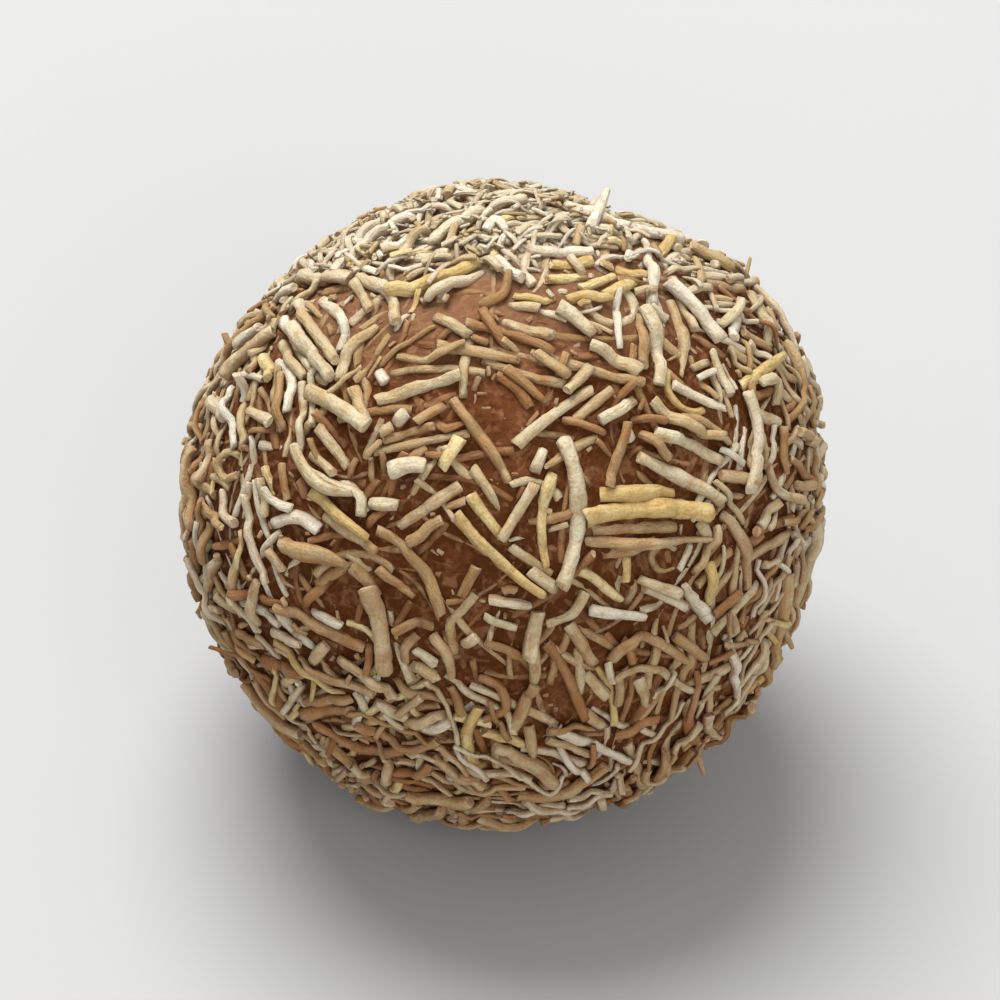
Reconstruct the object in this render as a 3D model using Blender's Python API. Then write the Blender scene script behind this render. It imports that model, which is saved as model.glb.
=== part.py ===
# A kunafa ball: a hand-rolled ball of chocolate and biscuit paste, coated in short
# pieces of toasted kataifi pastry. Modelled in metres, +Z up, resting on a small flat
# spot at the origin. The front of the ball faces -Y.

import math
import random
from collections import namedtuple

import bmesh
import bpy
from mathutils import Quaternion, Vector

MM = 0.001

# Driving dimensions.
BALL_DIAMETER = 42 * MM     # over the strands
COAT_HEIGHT = 0.7 * MM      # how far the strands stand off the ball they are fused to
FLAT_CUT = 0.8 * MM         # how much of the round is missing at the flat spot
FLOOR_GAP = 0.15 * MM       # no strand comes nearer to the resting plane than this
STRAND_WIDTH = 0.92 * MM
ROOT_DEPTH = 0.6 * MM       # how deep a strand is sunk into the ball

CORE_RADIUS = BALL_DIAMETER / 2 - COAT_HEIGHT
CENTRE = Vector((0, 0, CORE_RADIUS - FLAT_CUT))

# Where rolling by hand and setting down pressed the ball: direction from its middle,
# how deep, and the angle over which the press fades out. One place bulges instead.
PRESSES = {
    "left_shoulder": ((-0.64, 0.51, 0.57), 0.9 * MM, math.radians(30)),
    "top_right": ((0.39, 0.62, 0.68), 1.5 * MM, math.radians(16)),
    "right_bulge": ((0.86, 0.34, 0.38), -0.7 * MM, math.radians(22)),
    "low_left_side": ((-0.72, -0.45, -0.30), 0.7 * MM, math.radians(28)),
    "back": ((0.25, 0.90, -0.20), 0.8 * MM, math.radians(32)),
    "right_side": ((0.92, 0.10, -0.35), 0.5 * MM, math.radians(26)),
}
LUMP_HEIGHT = 0.16 * MM
LUMP_WAVES = (
    (Vector((3.1, 1.2, -2.0)), 0.4),
    (Vector((-1.5, 3.4, 1.1)), 2.1),
    (Vector((4.6, -2.2, 2.7)), 4.4),
    (Vector((-2.8, -4.1, 3.9)), 1.3),
)

# The front is looked at from above. Places on it are given as they look from there,
# in millimetres to the right of the ball's middle and up from it.
FRONT_ELEVATION = math.radians(42)
FRONT_RIGHT = Vector((1, 0, 0))
FRONT_UP = Vector((0, math.sin(FRONT_ELEVATION), math.cos(FRONT_ELEVATION)))
TOWARDS_FRONT = Vector((0, -math.cos(FRONT_ELEVATION), math.sin(FRONT_ELEVATION)))

# The strands that catch the eye on the front: the two ends of each, how far its middle
# bows out to the left of the way from the first end to the second, and its width
# against the usual one.
FRONT_STRANDS = {
    "high_left_bar": ((-7.9, 6.3), (-2.4, 7.8), 0.1, 1.0),
    "high_right_bar": ((3.8, 12.3), (5.9, 10.5), 0.0, 1.3),
    "high_right_slant": ((5.8, 9.9), (8.9, 8.2), 0.15, 1.1),
    "top_right_bend": ((9.0, 12.2), (10.2, 7.4), 0.5, 1.1),
    "top_right_thick": ((10.6, 13.8), (13.9, 10.0), 0.1, 1.4),
    "middle_long": ((-3.1, 6.5), (0.5, 1.1), 0.15, 0.95),
    "middle_short": ((-1.7, 2.0), (-0.1, -0.7), 0.1, 0.85),
    "comb_low": ((1.0, 3.5), (5.9, 7.2), 0.1, 0.95),
    "comb_middle": ((4.9, 5.2), (7.3, 7.2), 0.0, 0.9),
    "comb_high": ((6.5, 5.1), (8.8, 6.5), 0.0, 0.95),
    "fork_left": ((-2.9, -0.8), (2.7, -6.0), -0.3, 1.1),
    "fork_cross": ((0.1, -2.5), (2.2, 1.0), 0.0, 0.9),
    "fork_middle": ((3.4, 1.7), (2.9, -4.3), -0.45, 0.9),
    "fork_right": ((4.1, 4.0), (3.8, -5.6), 0.95, 1.3),
    "golden_bar_top": ((6.5, 0.3), (11.4, 0.4), 0.15, 1.3),
    "golden_bar_low": ((5.3, -1.1), (13.5, -0.8), 0.4, 1.5),
    "under_bar": ((5.5, -2.7), (13.4, -2.5), -0.1, 0.9),
    "right_slant": ((8.9, 2.8), (14.3, -0.1), 0.1, 1.1),
    "right_sweep": ((14.5, -0.9), (16.1, -5.9), 0.5, 1.0),
    "upper_right_slant": ((9.9, 6.5), (14.2, 4.0), -0.55, 1.0),
    "right_tan": ((8.1, 5.0), (7.0, 0.9), 0.1, 0.85),
    "right_edge": ((15.4, 6.8), (15.7, 0.5), 0.65, 1.1),
    "left_bar": ((-13.9, -2.8), (-9.8, -4.2), 0.15, 1.4),
    "left_bow": ((-7.9, -1.9), (-3.8, -7.4), 0.95, 1.0),
    "left_pair_high": ((-6.5, -1.7), (-2.5, 0.9), 0.0, 0.95),
    "left_pair_low": ((-5.8, -2.7), (-3.7, -1.2), 0.0, 0.95),
    "golden_left": ((-12.1, 0.6), (-8.2, -2.4), 0.0, 1.0),
    "hook_left": ((-12.9, 3.4), (-9.2, 0.4), -0.85, 1.0),
    "upper_left_slope": ((-13.6, 11.3), (-10.7, 7.7), 0.0, 1.2),
    "upper_left_thick": ((-12.3, 7.0), (-8.3, 4.6), 0.1, 1.3),
    "low_left_bar": ((-8.4, -5.5), (-7.5, -11.2), 0.35, 1.4),
    "low_left_wave": ((-14.2, -6.7), (-8.9, -9.7), -0.1, 1.0),
    "low_middle_thick": ((2.5, -7.2), (1.8, -10.1), 0.0, 1.2),
    "low_middle_tail": ((2.2, -11.8), (0.7, -15.0), 0.1, 1.0),
    "low_right_gold": ((5.1, -4.5), (8.1, -6.5), 0.05, 1.0),
    "low_right_slant": ((4.4, -8.1), (6.2, -10.7), 0.0, 1.0),
    "low_right_long": ((3.0, -9.4), (5.5, -14.0), 0.2, 1.0),
}
FRONT_REACH = 12            # the named strands alone are the larger ones this near the middle

# The rest of the larger strands are spread evenly by rule. Of a few drawn headings
# each takes the one that stays clearest of the strands before it.
SPREAD_STRANDS = 380
SPREAD_SEED = 42
GOLDEN_ANGLE = math.pi * (3 - math.sqrt(5))
SHORTEST, LONGEST = 4.0 * MM, 8.2 * MM
MOST_BOW = 0.15             # of the strand's length
WIDTH_RANGE = (0.8, 1.15)
HEADINGS_TRIED = 12
CLEARANCE = 1.15 * MM       # between the middle lines of two strands

# A strand's cross-section, wide at its root: part of the width, part of the height.
SECTION = ((0.6, -1), (0.29, 1), (-0.29, 1), (-0.6, -1))
HEIGHT_SPREAD = 0.20 * MM   # how much the strands' heights differ
LONG_STRAND = 6.2 * MM      # a longer one takes one more cross-section
CORE_DETAIL = 3             # subdivisions of the icosphere
FACET_SWELL = 0.12 * MM     # brings the mean of flat facets up to the round they stand for
SMOOTH_ANGLE = math.radians(40)

Strand = namedtuple("Strand", "centre along length bow width")


def clear_scene():
    for thing in list(bpy.data.objects):
        bpy.data.objects.remove(thing, do_unlink=True)


def core_radius(direction):
    """How far the rolled ball reaches from its middle, with its presses and lumps."""
    radius = CORE_RADIUS
    for centre, depth, reach in PRESSES.values():
        angle = direction.angle(Vector(centre))
        radius -= depth * math.exp(-((angle / reach) ** 2))
    for wave, phase in LUMP_WAVES:
        radius += LUMP_HEIGHT * math.sin(wave.dot(direction) + phase)
    return radius


def seen_from_front(right, up):
    """The direction, from the ball's middle, of a place on the front."""
    right, up = right * MM, up * MM
    towards = math.sqrt((BALL_DIAMETER / 2) ** 2 - right**2 - up**2)
    return (FRONT_RIGHT * right + FRONT_UP * up + TOWARDS_FRONT * towards).normalized()


def front_strand(start, end, bow, width):
    first, last = seen_from_front(*start), seen_from_front(*end)
    centre, way = (first + last).normalized(), last - first
    length = way.length * CORE_RADIUS
    return Strand(centre, way.normalized(), length, bow * MM, width * STRAND_WIDTH)


def drawn_strand(draw, centre):
    length = draw.uniform(SHORTEST, LONGEST)
    along = centre.orthogonal().normalized()
    along.rotate(Quaternion(centre, draw.uniform(0, math.tau)))
    bow = length * draw.uniform(-MOST_BOW, MOST_BOW)
    return Strand(centre, along, length, bow, STRAND_WIDTH * draw.uniform(*WIDTH_RANGE))


def course(strand, count):
    """Directions at even steps along a strand."""
    sideways = strand.centre.cross(strand.along)
    for step in range(count):
        part = 2 * step / (count - 1) - 1
        along = strand.along * strand.length / 2 * part
        place = strand.centre * CORE_RADIUS + along + sideways * strand.bow * (1 - part**2)
        yield place.normalized()


def spread_directions(count):
    """Directions spread evenly over the whole ball, from the top down."""
    for index in range(count):
        height = 1 - 2 * (index + 0.5) / count
        out = math.sqrt(1 - height**2)
        turn = index * GOLDEN_ANGLE
        yield Vector((out * math.cos(turn), out * math.sin(turn), height))


def on_front(way):
    """Whether a direction is among the named strands of the front."""
    right, up = way.dot(FRONT_RIGHT), way.dot(FRONT_UP)
    seen = math.hypot(right, up) * BALL_DIAMETER / 2
    return way.dot(TOWARDS_FRONT) > 0 and seen < FRONT_REACH * MM


def room_around(strand, placed):
    """How clear a strand stays of the middle lines that are there already."""
    nearby = [way for way in placed if (way - strand.centre).length < 0.6]
    gaps = [(way - other).length for way in course(strand, 5) for other in nearby]
    return min(gaps, default=1) * CORE_RADIUS


def stays_off_floor(strand):
    reach = CORE_RADIUS + COAT_HEIGHT + HEIGHT_SPREAD
    return all((CENTRE + way * reach).z > FLOOR_GAP for way in course(strand, 5))


def all_strands():
    """The strands of the front, then those spread over the whole ball by rule."""
    strands = [front_strand(*facts) for facts in FRONT_STRANDS.values()]
    placed = [way for strand in strands for way in course(strand, 5)]
    draw = random.Random(SPREAD_SEED)
    for centre in spread_directions(SPREAD_STRANDS):
        if on_front(centre):
            continue
        tries = [drawn_strand(draw, centre) for _ in range(HEADINGS_TRIED)]
        best = max(tries, key=lambda strand: room_around(strand, placed))
        if stays_off_floor(best) and room_around(best, placed) > CLEARANCE:
            strands.append(best)
            placed += course(best, 5)
    return strands


def object_from(bm, name):
    bmesh.ops.triangulate(bm, faces=bm.faces)
    bmesh.ops.recalc_face_normals(bm, faces=bm.faces)
    mesh = bpy.data.meshes.new(name)
    bm.to_mesh(mesh)
    bm.free()
    thing = bpy.data.objects.new(name, mesh)
    bpy.context.scene.collection.objects.link(thing)
    return thing


def core_object():
    """The rolled ball itself, cut flat where it rests."""
    bm = bmesh.new()
    bmesh.ops.create_icosphere(bm, subdivisions=CORE_DETAIL, radius=1)
    for vert in bm.verts:
        direction = vert.co.normalized()
        vert.co = CENTRE + direction * (core_radius(direction) + FACET_SWELL)
    everything = bm.verts[:] + bm.edges[:] + bm.faces[:]
    down = Vector((0, 0, -1))
    bmesh.ops.bisect_plane(bm, geom=everything, plane_no=down, clear_outer=True)
    bmesh.ops.holes_fill(bm, edges=bm.edges)
    return object_from(bm, "kunafa_ball")


def strand_object(index, strand):
    """One strand: a bar with sloping sides, laid along its course and cut square."""
    draw = random.Random(index)
    count = 4 if strand.length > LONG_STRAND else 3
    ways = list(course(strand, count))
    lift = draw.uniform(-HEIGHT_SPREAD, HEIGHT_SPREAD)
    lows = [CENTRE + way * (core_radius(way) - ROOT_DEPTH) for way in ways]
    rise = COAT_HEIGHT + ROOT_DEPTH + lift
    bm = bmesh.new()
    rings = []
    for step, (way, low) in enumerate(zip(ways, lows)):
        before, after = lows[max(step - 1, 0)], lows[min(step + 1, count - 1)]
        sideways = (after - before).cross(way).normalized() * strand.width
        corners = [low + sideways * across + way * rise * (up + 1) / 2 for across, up in SECTION]
        rings.append([bm.verts.new(corner) for corner in corners])
    for one, other in zip(rings, rings[1:]):
        for side in range(len(SECTION)):
            after = (side + 1) % len(SECTION)
            bm.faces.new((one[side], one[after], other[after], other[side]))
    bm.faces.new(rings[0])
    bm.faces.new(rings[-1])
    return object_from(bm, f"strand_{index}")


def fuse(ball, strands):
    """Joins the strands to the ball by one union, and takes their own objects away."""
    coat = bpy.data.collections.new("coat")
    for strand in strands:
        bpy.context.scene.collection.objects.unlink(strand)
        coat.objects.link(strand)
    union = ball.modifiers.new("fuse", "BOOLEAN")
    union.operation = "UNION"
    union.operand_type = "COLLECTION"
    union.collection = coat
    union.solver = "EXACT"
    bpy.context.view_layer.objects.active = ball
    bpy.ops.object.modifier_apply(modifier=union.name)
    for strand in strands:
        bpy.data.objects.remove(strand, do_unlink=True)
    bpy.data.collections.remove(coat)


def keep_outer_shell(ball):
    """Leaves only the largest shell: sealed hollows are filled, loose scraps dropped."""
    bm = bmesh.new()
    bm.from_mesh(ball.data)
    unseen, shells = set(bm.verts), []
    while unseen:
        shell, edge = set(), [unseen.pop()]
        while edge:
            vert = edge.pop()
            shell.add(vert)
            found = {link.other_vert(vert) for link in vert.link_edges} & unseen
            unseen -= found
            edge += found
        shells.append(shell)
    shells.sort(key=len)
    scraps = [vert for shell in shells[:-1] for vert in shell]
    bmesh.ops.delete(bm, geom=scraps, context="VERTS")
    bmesh.ops.triangulate(bm, faces=bm.faces)
    bm.to_mesh(ball.data)
    bm.free()


def coat_material():
    """Toasted pastry over milk chocolate, as one colour."""
    material = bpy.data.materials.new("kunafa_coat")
    material.use_nodes = True
    shader = material.node_tree.nodes["Principled BSDF"]
    shader.inputs["Base Color"].default_value = (0.36, 0.22, 0.115, 1)
    shader.inputs["Roughness"].default_value = 0.7
    shader.inputs["Metallic"].default_value = 0
    return material


def main():
    clear_scene()
    ball = core_object()
    strands = [strand_object(*numbered) for numbered in enumerate(all_strands())]
    fuse(ball, strands)
    keep_outer_shell(ball)
    ball.data.materials.append(coat_material())
    ball.data.shade_smooth()
    ball.data.set_sharp_from_angle(angle=SMOOTH_ANGLE)


main()
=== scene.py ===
# Kunafa ball: a hand-rolled ball of chocolate paste, coated in short toasted pastry strands.
# The larger strands lie where the solid has them. The rest of the coat is laid down piece
# by piece on a height map of the ball, so that every strand rests on what is under it.

import math
import random
from collections import namedtuple

import bpy
import numpy as np
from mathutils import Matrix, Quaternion, Vector


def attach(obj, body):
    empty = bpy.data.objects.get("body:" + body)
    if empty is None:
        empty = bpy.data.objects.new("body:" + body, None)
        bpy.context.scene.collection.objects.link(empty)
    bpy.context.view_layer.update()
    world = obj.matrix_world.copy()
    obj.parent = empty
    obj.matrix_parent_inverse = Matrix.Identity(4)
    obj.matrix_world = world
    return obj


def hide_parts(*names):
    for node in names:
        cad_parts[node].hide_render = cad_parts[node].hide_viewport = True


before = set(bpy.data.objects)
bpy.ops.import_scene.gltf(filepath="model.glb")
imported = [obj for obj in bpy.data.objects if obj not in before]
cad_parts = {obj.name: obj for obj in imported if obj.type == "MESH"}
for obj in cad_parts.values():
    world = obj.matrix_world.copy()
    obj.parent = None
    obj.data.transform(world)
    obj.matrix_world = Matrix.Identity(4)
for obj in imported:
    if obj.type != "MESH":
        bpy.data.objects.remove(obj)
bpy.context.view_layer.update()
mm = 0.001

# sizes that the solid has too
ball = {
    "diameter": 42 * mm,      # over the strands
    "coat": 0.7 * mm,         # how far the larger strands stand off the solid's round
    "flatCut": 0.8 * mm,      # missing from the round at the flat spot
    "floorGap": 0.15 * mm,
    "heightSpread": 0.2 * mm,
    "pasteDepth": 0.4 * mm,   # bare paste lies this far below the solid's round
    "flatLift": 0.3 * mm,     # and this far above the floor, where strands are pressed flat
}
coreSize = ball["diameter"] / 2 - ball["coat"]
middle = Vector((0, 0, coreSize - ball["flatCut"]))

presses = {                   # direction, depth (a bulge's is negative), angle over which it fades out
    "leftShoulder": ((-0.64, 0.51, 0.57), 0.9 * mm, math.radians(30)),
    "topRight": ((0.39, 0.62, 0.68), 1.5 * mm, math.radians(16)),
    "rightBulge": ((0.86, 0.34, 0.38), -0.7 * mm, math.radians(22)),
    "lowLeftSide": ((-0.72, -0.45, -0.30), 0.7 * mm, math.radians(28)),
    "back": ((0.25, 0.90, -0.20), 0.8 * mm, math.radians(32)),
    "rightSide": ((0.92, 0.10, -0.35), 0.5 * mm, math.radians(26)),
}
lumps = {
    "height": 0.16 * mm,
    "waves": (((3.1, 1.2, -2.0), 0.4), ((-1.5, 3.4, 1.1), 2.1),
              ((4.6, -2.2, 2.7), 4.4), ((-2.8, -4.1, 3.9), 1.3)),
}

# the view that places on the front are given in: mm right of the middle and up from it
front = {
    "elevation": math.radians(42),
    "reach": 12 * mm,         # so near to the middle, the larger strands are placed by name
}
frontRight = Vector((1, 0, 0))
frontUp = Vector((0, math.sin(front["elevation"]), math.cos(front["elevation"])))
towardsFront = Vector((0, -math.cos(front["elevation"]), math.sin(front["elevation"])))

# the larger strands, as the solid places them

# two ends, bow to the left of the way between them, width against the usual, colour
frontStrands = {
    "highLeftBar": ((-7.9, 6.3), (-2.4, 7.8), 0.1, 1.0, "cream"),
    "highRightBar": ((3.8, 12.3), (5.9, 10.5), 0.0, 1.3, "cream"),
    "highRightSlant": ((5.8, 9.9), (8.9, 8.2), 0.15, 1.1, "cream"),
    "topRightBend": ((9.0, 12.2), (10.2, 7.4), 0.5, 1.1, "cream"),
    "topRightThick": ((10.6, 13.8), (13.9, 10.0), 0.1, 1.4, "pale"),
    "middleLong": ((-3.1, 6.5), (0.5, 1.1), 0.15, 0.95, "wheat"),
    "middleShort": ((-1.7, 2.0), (-0.1, -0.7), 0.1, 0.85, "cream"),
    "combLow": ((1.0, 3.5), (5.9, 7.2), 0.1, 0.95, "cream"),
    "combMiddle": ((4.9, 5.2), (7.3, 7.2), 0.0, 0.9, "cream"),
    "combHigh": ((6.5, 5.1), (8.8, 6.5), 0.0, 0.95, "cream"),
    "forkLeft": ((-2.9, -0.8), (2.7, -6.0), -0.3, 1.1, "golden"),
    "forkCross": ((0.1, -2.5), (2.2, 1.0), 0.0, 0.9, "cream"),
    "forkMiddle": ((3.4, 1.7), (2.9, -4.3), -0.45, 0.9, "golden"),
    "forkRight": ((4.1, 4.0), (3.8, -5.6), 0.95, 1.3, "cream"),
    "goldenBarTop": ((6.5, 0.3), (11.4, 0.4), 0.15, 1.3, "golden"),
    "goldenBarLow": ((5.3, -1.1), (13.5, -0.8), 0.4, 1.5, "golden"),
    "underBar": ((5.5, -2.7), (13.4, -2.5), -0.1, 0.9, "wheat"),
    "rightSlant": ((8.9, 2.8), (14.3, -0.1), 0.1, 1.1, "cream"),
    "rightSweep": ((14.5, -0.9), (16.1, -5.9), 0.5, 1.0, "wheat"),
    "upperRightSlant": ((9.9, 6.5), (14.2, 4.0), -0.55, 1.0, "cream"),
    "rightTan": ((8.1, 5.0), (7.0, 0.9), 0.1, 0.85, "tan"),
    "rightEdge": ((15.4, 6.8), (15.7, 0.5), 0.65, 1.1, "pale"),
    "leftBar": ((-13.9, -2.8), (-9.8, -4.2), 0.15, 1.4, "cream"),
    "leftBow": ((-7.9, -1.9), (-3.8, -7.4), 0.95, 1.0, "wheat"),
    "leftPairHigh": ((-6.5, -1.7), (-2.5, 0.9), 0.0, 0.95, "wheat"),
    "leftPairLow": ((-5.8, -2.7), (-3.7, -1.2), 0.0, 0.95, "wheat"),
    "goldenLeft": ((-12.1, 0.6), (-8.2, -2.4), 0.0, 1.0, "golden"),
    "hookLeft": ((-12.9, 3.4), (-9.2, 0.4), -0.85, 1.0, "cream"),
    "upperLeftSlope": ((-13.6, 11.3), (-10.7, 7.7), 0.0, 1.2, "cream"),
    "upperLeftThick": ((-12.3, 7.0), (-8.3, 4.6), 0.1, 1.3, "cream"),
    "lowLeftBar": ((-8.4, -5.5), (-7.5, -11.2), 0.35, 1.4, "wheat"),
    "lowLeftWave": ((-14.2, -6.7), (-8.9, -9.7), -0.1, 1.0, "tan"),
    "lowMiddleThick": ((2.5, -7.2), (1.8, -10.1), 0.0, 1.2, "cream"),
    "lowMiddleTail": ((2.2, -11.8), (0.7, -15.0), 0.1, 1.0, "tan"),
    "lowRightGold": ((5.1, -4.5), (8.1, -6.5), 0.05, 1.0, "golden"),
    "lowRightSlant": ((4.4, -8.1), (6.2, -10.7), 0.0, 1.0, "wheat"),
    "lowRightLong": ((3.0, -9.4), (5.5, -14.0), 0.2, 1.0, "stained"),
}

# the larger strands all over the rest of the ball, by the solid's own rule
spread = {
    "count": 380,
    "seed": 42,
    "lengths": (4.0 * mm, 8.2 * mm),
    "mostBow": 0.15,
    "width": 0.92 * mm,
    "widths": (0.8, 1.15),
    "headingsTried": 12,
    "clearance": 1.15 * mm,
    "placesChecked": 5,       # along a strand
    "nearby": 0.6,            # how far round it the others are looked at, against the radius
}
Strand = namedtuple("Strand", "centre along length bow width")


def seenFromFront(right, up):
    right, up = right * mm, up * mm
    towards = math.sqrt((ball["diameter"] / 2) ** 2 - right**2 - up**2)
    return (frontRight * right + frontUp * up + towardsFront * towards).normalized()


def frontStrand(start, end, bow, width):
    first, last = seenFromFront(*start), seenFromFront(*end)
    centre, way = (first + last).normalized(), last - first
    length = way.length * coreSize
    return Strand(centre, way.normalized(), length, bow * mm, width * spread["width"])


def drawnStrand(draw, centre):
    length = draw.uniform(*spread["lengths"])
    along = centre.orthogonal().normalized()
    along.rotate(Quaternion(centre, draw.uniform(0, math.tau)))
    bow = length * draw.uniform(-spread["mostBow"], spread["mostBow"])
    width = spread["width"] * draw.uniform(*spread["widths"])
    return Strand(centre, along, length, bow, width)


def course(strand, count=spread["placesChecked"]):
    sideways = strand.centre.cross(strand.along)
    for step in range(count):
        part = 2 * step / (count - 1) - 1
        along = strand.along * strand.length / 2 * part
        place = strand.centre * coreSize + along + sideways * strand.bow * (1 - part**2)
        yield place.normalized()


def spreadDirections(count):
    goldenAngle = math.pi * (3 - math.sqrt(5))
    for index in range(count):
        height = 1 - 2 * (index + 0.5) / count
        out = math.sqrt(1 - height**2)
        yield Vector((out * math.cos(index * goldenAngle), out * math.sin(index * goldenAngle), height))


def onFront(way):
    right, up = way.dot(frontRight), way.dot(frontUp)
    seen = math.hypot(right, up) * ball["diameter"] / 2
    return way.dot(towardsFront) > 0 and seen < front["reach"]


def roomAround(strand, placed):
    nearby = [way for way in placed if (way - strand.centre).length < spread["nearby"]]
    gaps = [(way - other).length for way in course(strand) for other in nearby]
    return min(gaps, default=1) * coreSize


def staysOffFloor(strand):
    reach = coreSize + ball["coat"] + ball["heightSpread"]
    return all((middle + way * reach).z > ball["floorGap"] for way in course(strand))


def spreadStrands(placed):
    strands = []
    draw = random.Random(spread["seed"])
    for centre in spreadDirections(spread["count"]):
        if onFront(centre):
            continue
        tries = [drawnStrand(draw, centre) for _ in range(spread["headingsTried"])]
        best = max(tries, key=lambda strand: roomAround(strand, placed))
        if staysOffFloor(best) and roomAround(best, placed) > spread["clearance"]:
            strands.append(best)
            placed += course(best)
    return strands


# the round of the ball, for many directions at once

def unit(rows):
    return rows / np.linalg.norm(rows, axis=-1, keepdims=True)


def coreReach(ways):
    reach = np.full(len(ways), coreSize)
    for toward, depth, fade in presses.values():
        angle = np.arccos(np.clip(ways @ unit(np.array(toward)), -1, 1))
        reach -= depth * np.exp(-((angle / fade) ** 2))
    for wave, phase in lumps["waves"]:
        reach += lumps["height"] * np.sin(ways @ np.array(wave) + phase)
    return reach


def pasteReach(ways):
    flat = (middle.z - ball["flatLift"]) / np.maximum(-ways[:, 2], 1e-6)
    return np.minimum(coreReach(ways) - ball["pasteDepth"], flat)


def seenWays(places):
    return np.array([seenFromFront(right, up)[:] for right, up, *_ in places])


# the top of the ball, and the places where its paste shows

crown = {                     # the whitish top, partly painted light where the overhead light falls: nearness to its middle is 1 there, 0 a quarter round
    "way": (-0.06, 0.42, 0.91),
    "gathered": 0.6,          # how close to the middle its own layers keep
    # pale strands gathered here paint in the light that falls on the top
    "kinds": {"pale": 0.58, "cream": 0.32, "wheat": 0.06, "golden": 0.04},
    "reach": (0.78, 0.92),    # how near some, and all, strands are of these kinds
    "smoothAbove": 0.72,      # how near no random strand stands off
    "dry": (0.6, 0.2),        # how near the paste starts to get painted light, and how soon it fully does
    "dusty": (0.87, 0.07),    # the same for the crushed pastry on it, which is also painted light
}
barePatches = {               # right, up and radius in mm of where the paste shows
    "middle": (-0.3, 6.0, 1.7),
    "middleLow": (0.5, 4.1, 0.8),
    "aboveFork": (1.4, 2.2, 0.7),
    "leftOfFork": (-3.6, -3.7, 1.3),
    "left": (-10.4, -6.6, 1.3),
    "high": (-2.3, 12.6, 1.2),
    "rightOfComb": (6.0, 2.7, 1.0),
    "low": (3.6, -13.2, 0.9),
    "rightSide": (11.9, 8.4, 0.6),
}
crownWay = unit(np.array(crown["way"]))
patchWays = seenWays(barePatches.values())
patchSizes = np.array([size * mm for *_, size in barePatches.values()])


# the finer coat, which only the eye needs

coat = {
    "seed": 7,
    "mapSize": 260,           # cells along an edge of the height map's cube
    "step": 0.1 * mm,         # between the points of a strand's path
    "sink": 0.20 * mm,        # how deep a strand presses into bare paste
    "press": 0.08 * mm,       # and into a strand that it crosses
    "touch": 0.05 * mm,       # where the height map rises this much, something lies
    "cap": 1.25 * mm,         # no strand tops this over the bare paste, but a lifted end
    "footing": 0.36,          # share of its width to each side that a strand rests on
    "supports": 5,            # places across that where it is looked at what it rests on
    "bridged": 3,             # steps along it that it holds level over a gap
    "eased": 6,               # steps over which it then bends
    "thickness": (0.6, 0.95),  # against its width
    "namedThickness": (0.65, 0.85),
    "keptAcross": 7,          # places across a named strand that are kept for it
    "usualLength": 1.7,       # against the shortest
    "density": 0.8,           # share of the tries that are used at half height
    "densityUp": 0.25,        # how much more at the very top, and less at the bottom
    "frontDensity": 0.6,      # against elsewhere, as the front has its named strands
    "lifted": 0.12,           # share of the strands with an end that stands up
    "lifts": (0.3, 1.1),      # by so many mm
    "shortestLifted": 1.2,    # mm
}

# the height map: one number for each small cell of the ball, over the bare paste
otherAxes = np.array([[1, 2], [2, 0], [0, 1]])
heightMap = np.full(6 * coat["mapSize"] ** 2, -coat["sink"])
kept = np.zeros(len(heightMap), bool)  # cells under the strands that are given by name
laid = []


def cellsOf(ways):
    rows, size = np.arange(len(ways)), coat["mapSize"]
    axis = np.abs(ways).argmax(1)
    major = ways[rows, axis]
    across = ways[rows[:, None], otherAxes[axis]] / np.abs(major)[:, None]
    place = ((np.arctan(across) * 4 / math.pi + 1) / 2 * size).astype(int).clip(0, size - 1)
    return ((axis * 2 + (major < 0)) * size + place[:, 0]) * size + place[:, 1]


def isBare(ways):
    return heightMap[cellsOf(ways)] <= -coat["sink"]


def isTaken(heights):
    return heights > -coat["sink"] + coat["touch"]


def sidewaysOf(path):
    return unit(np.cross(np.gradient(path, axis=0), path))


# the cells at each point of a path, so far to its left and right
def cellsBeside(path, offsets):
    beside = path[:, None] + sidewaysOf(path)[:, None] * (offsets / coreSize)[None, :, None]
    return cellsOf(unit(beside).reshape(-1, 3))


def slidingMax(values, reach):
    padded = np.pad(values, reach, mode="edge")
    return np.lib.stride_tricks.sliding_window_view(padded, 2 * reach + 1).max(1)


def smoothed(values, reach):
    padded = np.pad(values, reach, mode="edge")
    kernel = np.hanning(2 * reach + 3)[1:-1]
    return np.convolve(padded, kernel / kernel.sum(), mode="valid")


# where a strand comes to rest on what is under it, and how much of it crosses others
def settled(path, width, thick):
    offsets = np.linspace(-coat["footing"], coat["footing"], coat["supports"]) * width
    under = heightMap[cellsBeside(path, offsets)].reshape(len(path), -1).max(1)
    bottom = smoothed(slidingMax(under, coat["bridged"]), coat["eased"])
    return bottom + thick / 2 - np.where(under > 0, coat["press"], 0), isTaken(under).mean()


def stamp(path, heights, width, thick):
    offsets = np.arange(-0.5, 0.5001, coat["step"] / width) * width
    bulge = np.sqrt(np.maximum(1 - (2 * offsets / width) ** 2, 0)) * thick / 2
    np.maximum.at(heightMap, cellsBeside(path, offsets), (heights[:, None] + bulge[None]).ravel())


grain = {                     # right, up in mm, and the angle that most strands lie at there
    "upperLeft": (-13, 10, -50), "left": (-15, 2, 95), "shoulder": (-9, 13, -50),
    "top": (-2, 16, 5), "topRight": (4, 15, -8), "high": (1, 11, -20), "upperRight": (11, 11, -65),
    "right": (16, 3, 100), "rightMiddle": (12, 5, -30), "highLeft": (-5, 9, 20),
    "middleLeft": (-9, 3, -40), "lowLeft": (-13, -8, -25), "lowMiddle": (-5, -10, -65),
    "lowRight": (5, -10, -60), "farRight": (11, -6, -20), "bottomRight": (12, -10, 50),
}
grainPull = {
    "near": 0.2,              # how far one of those places reaches, against the ball's radius
    "strength": 3,            # against the random grain of the rest of the ball
    "seed": 11,               # of that random grain
    "waves": 6,
    "waveSize": 2.6,
}

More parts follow.
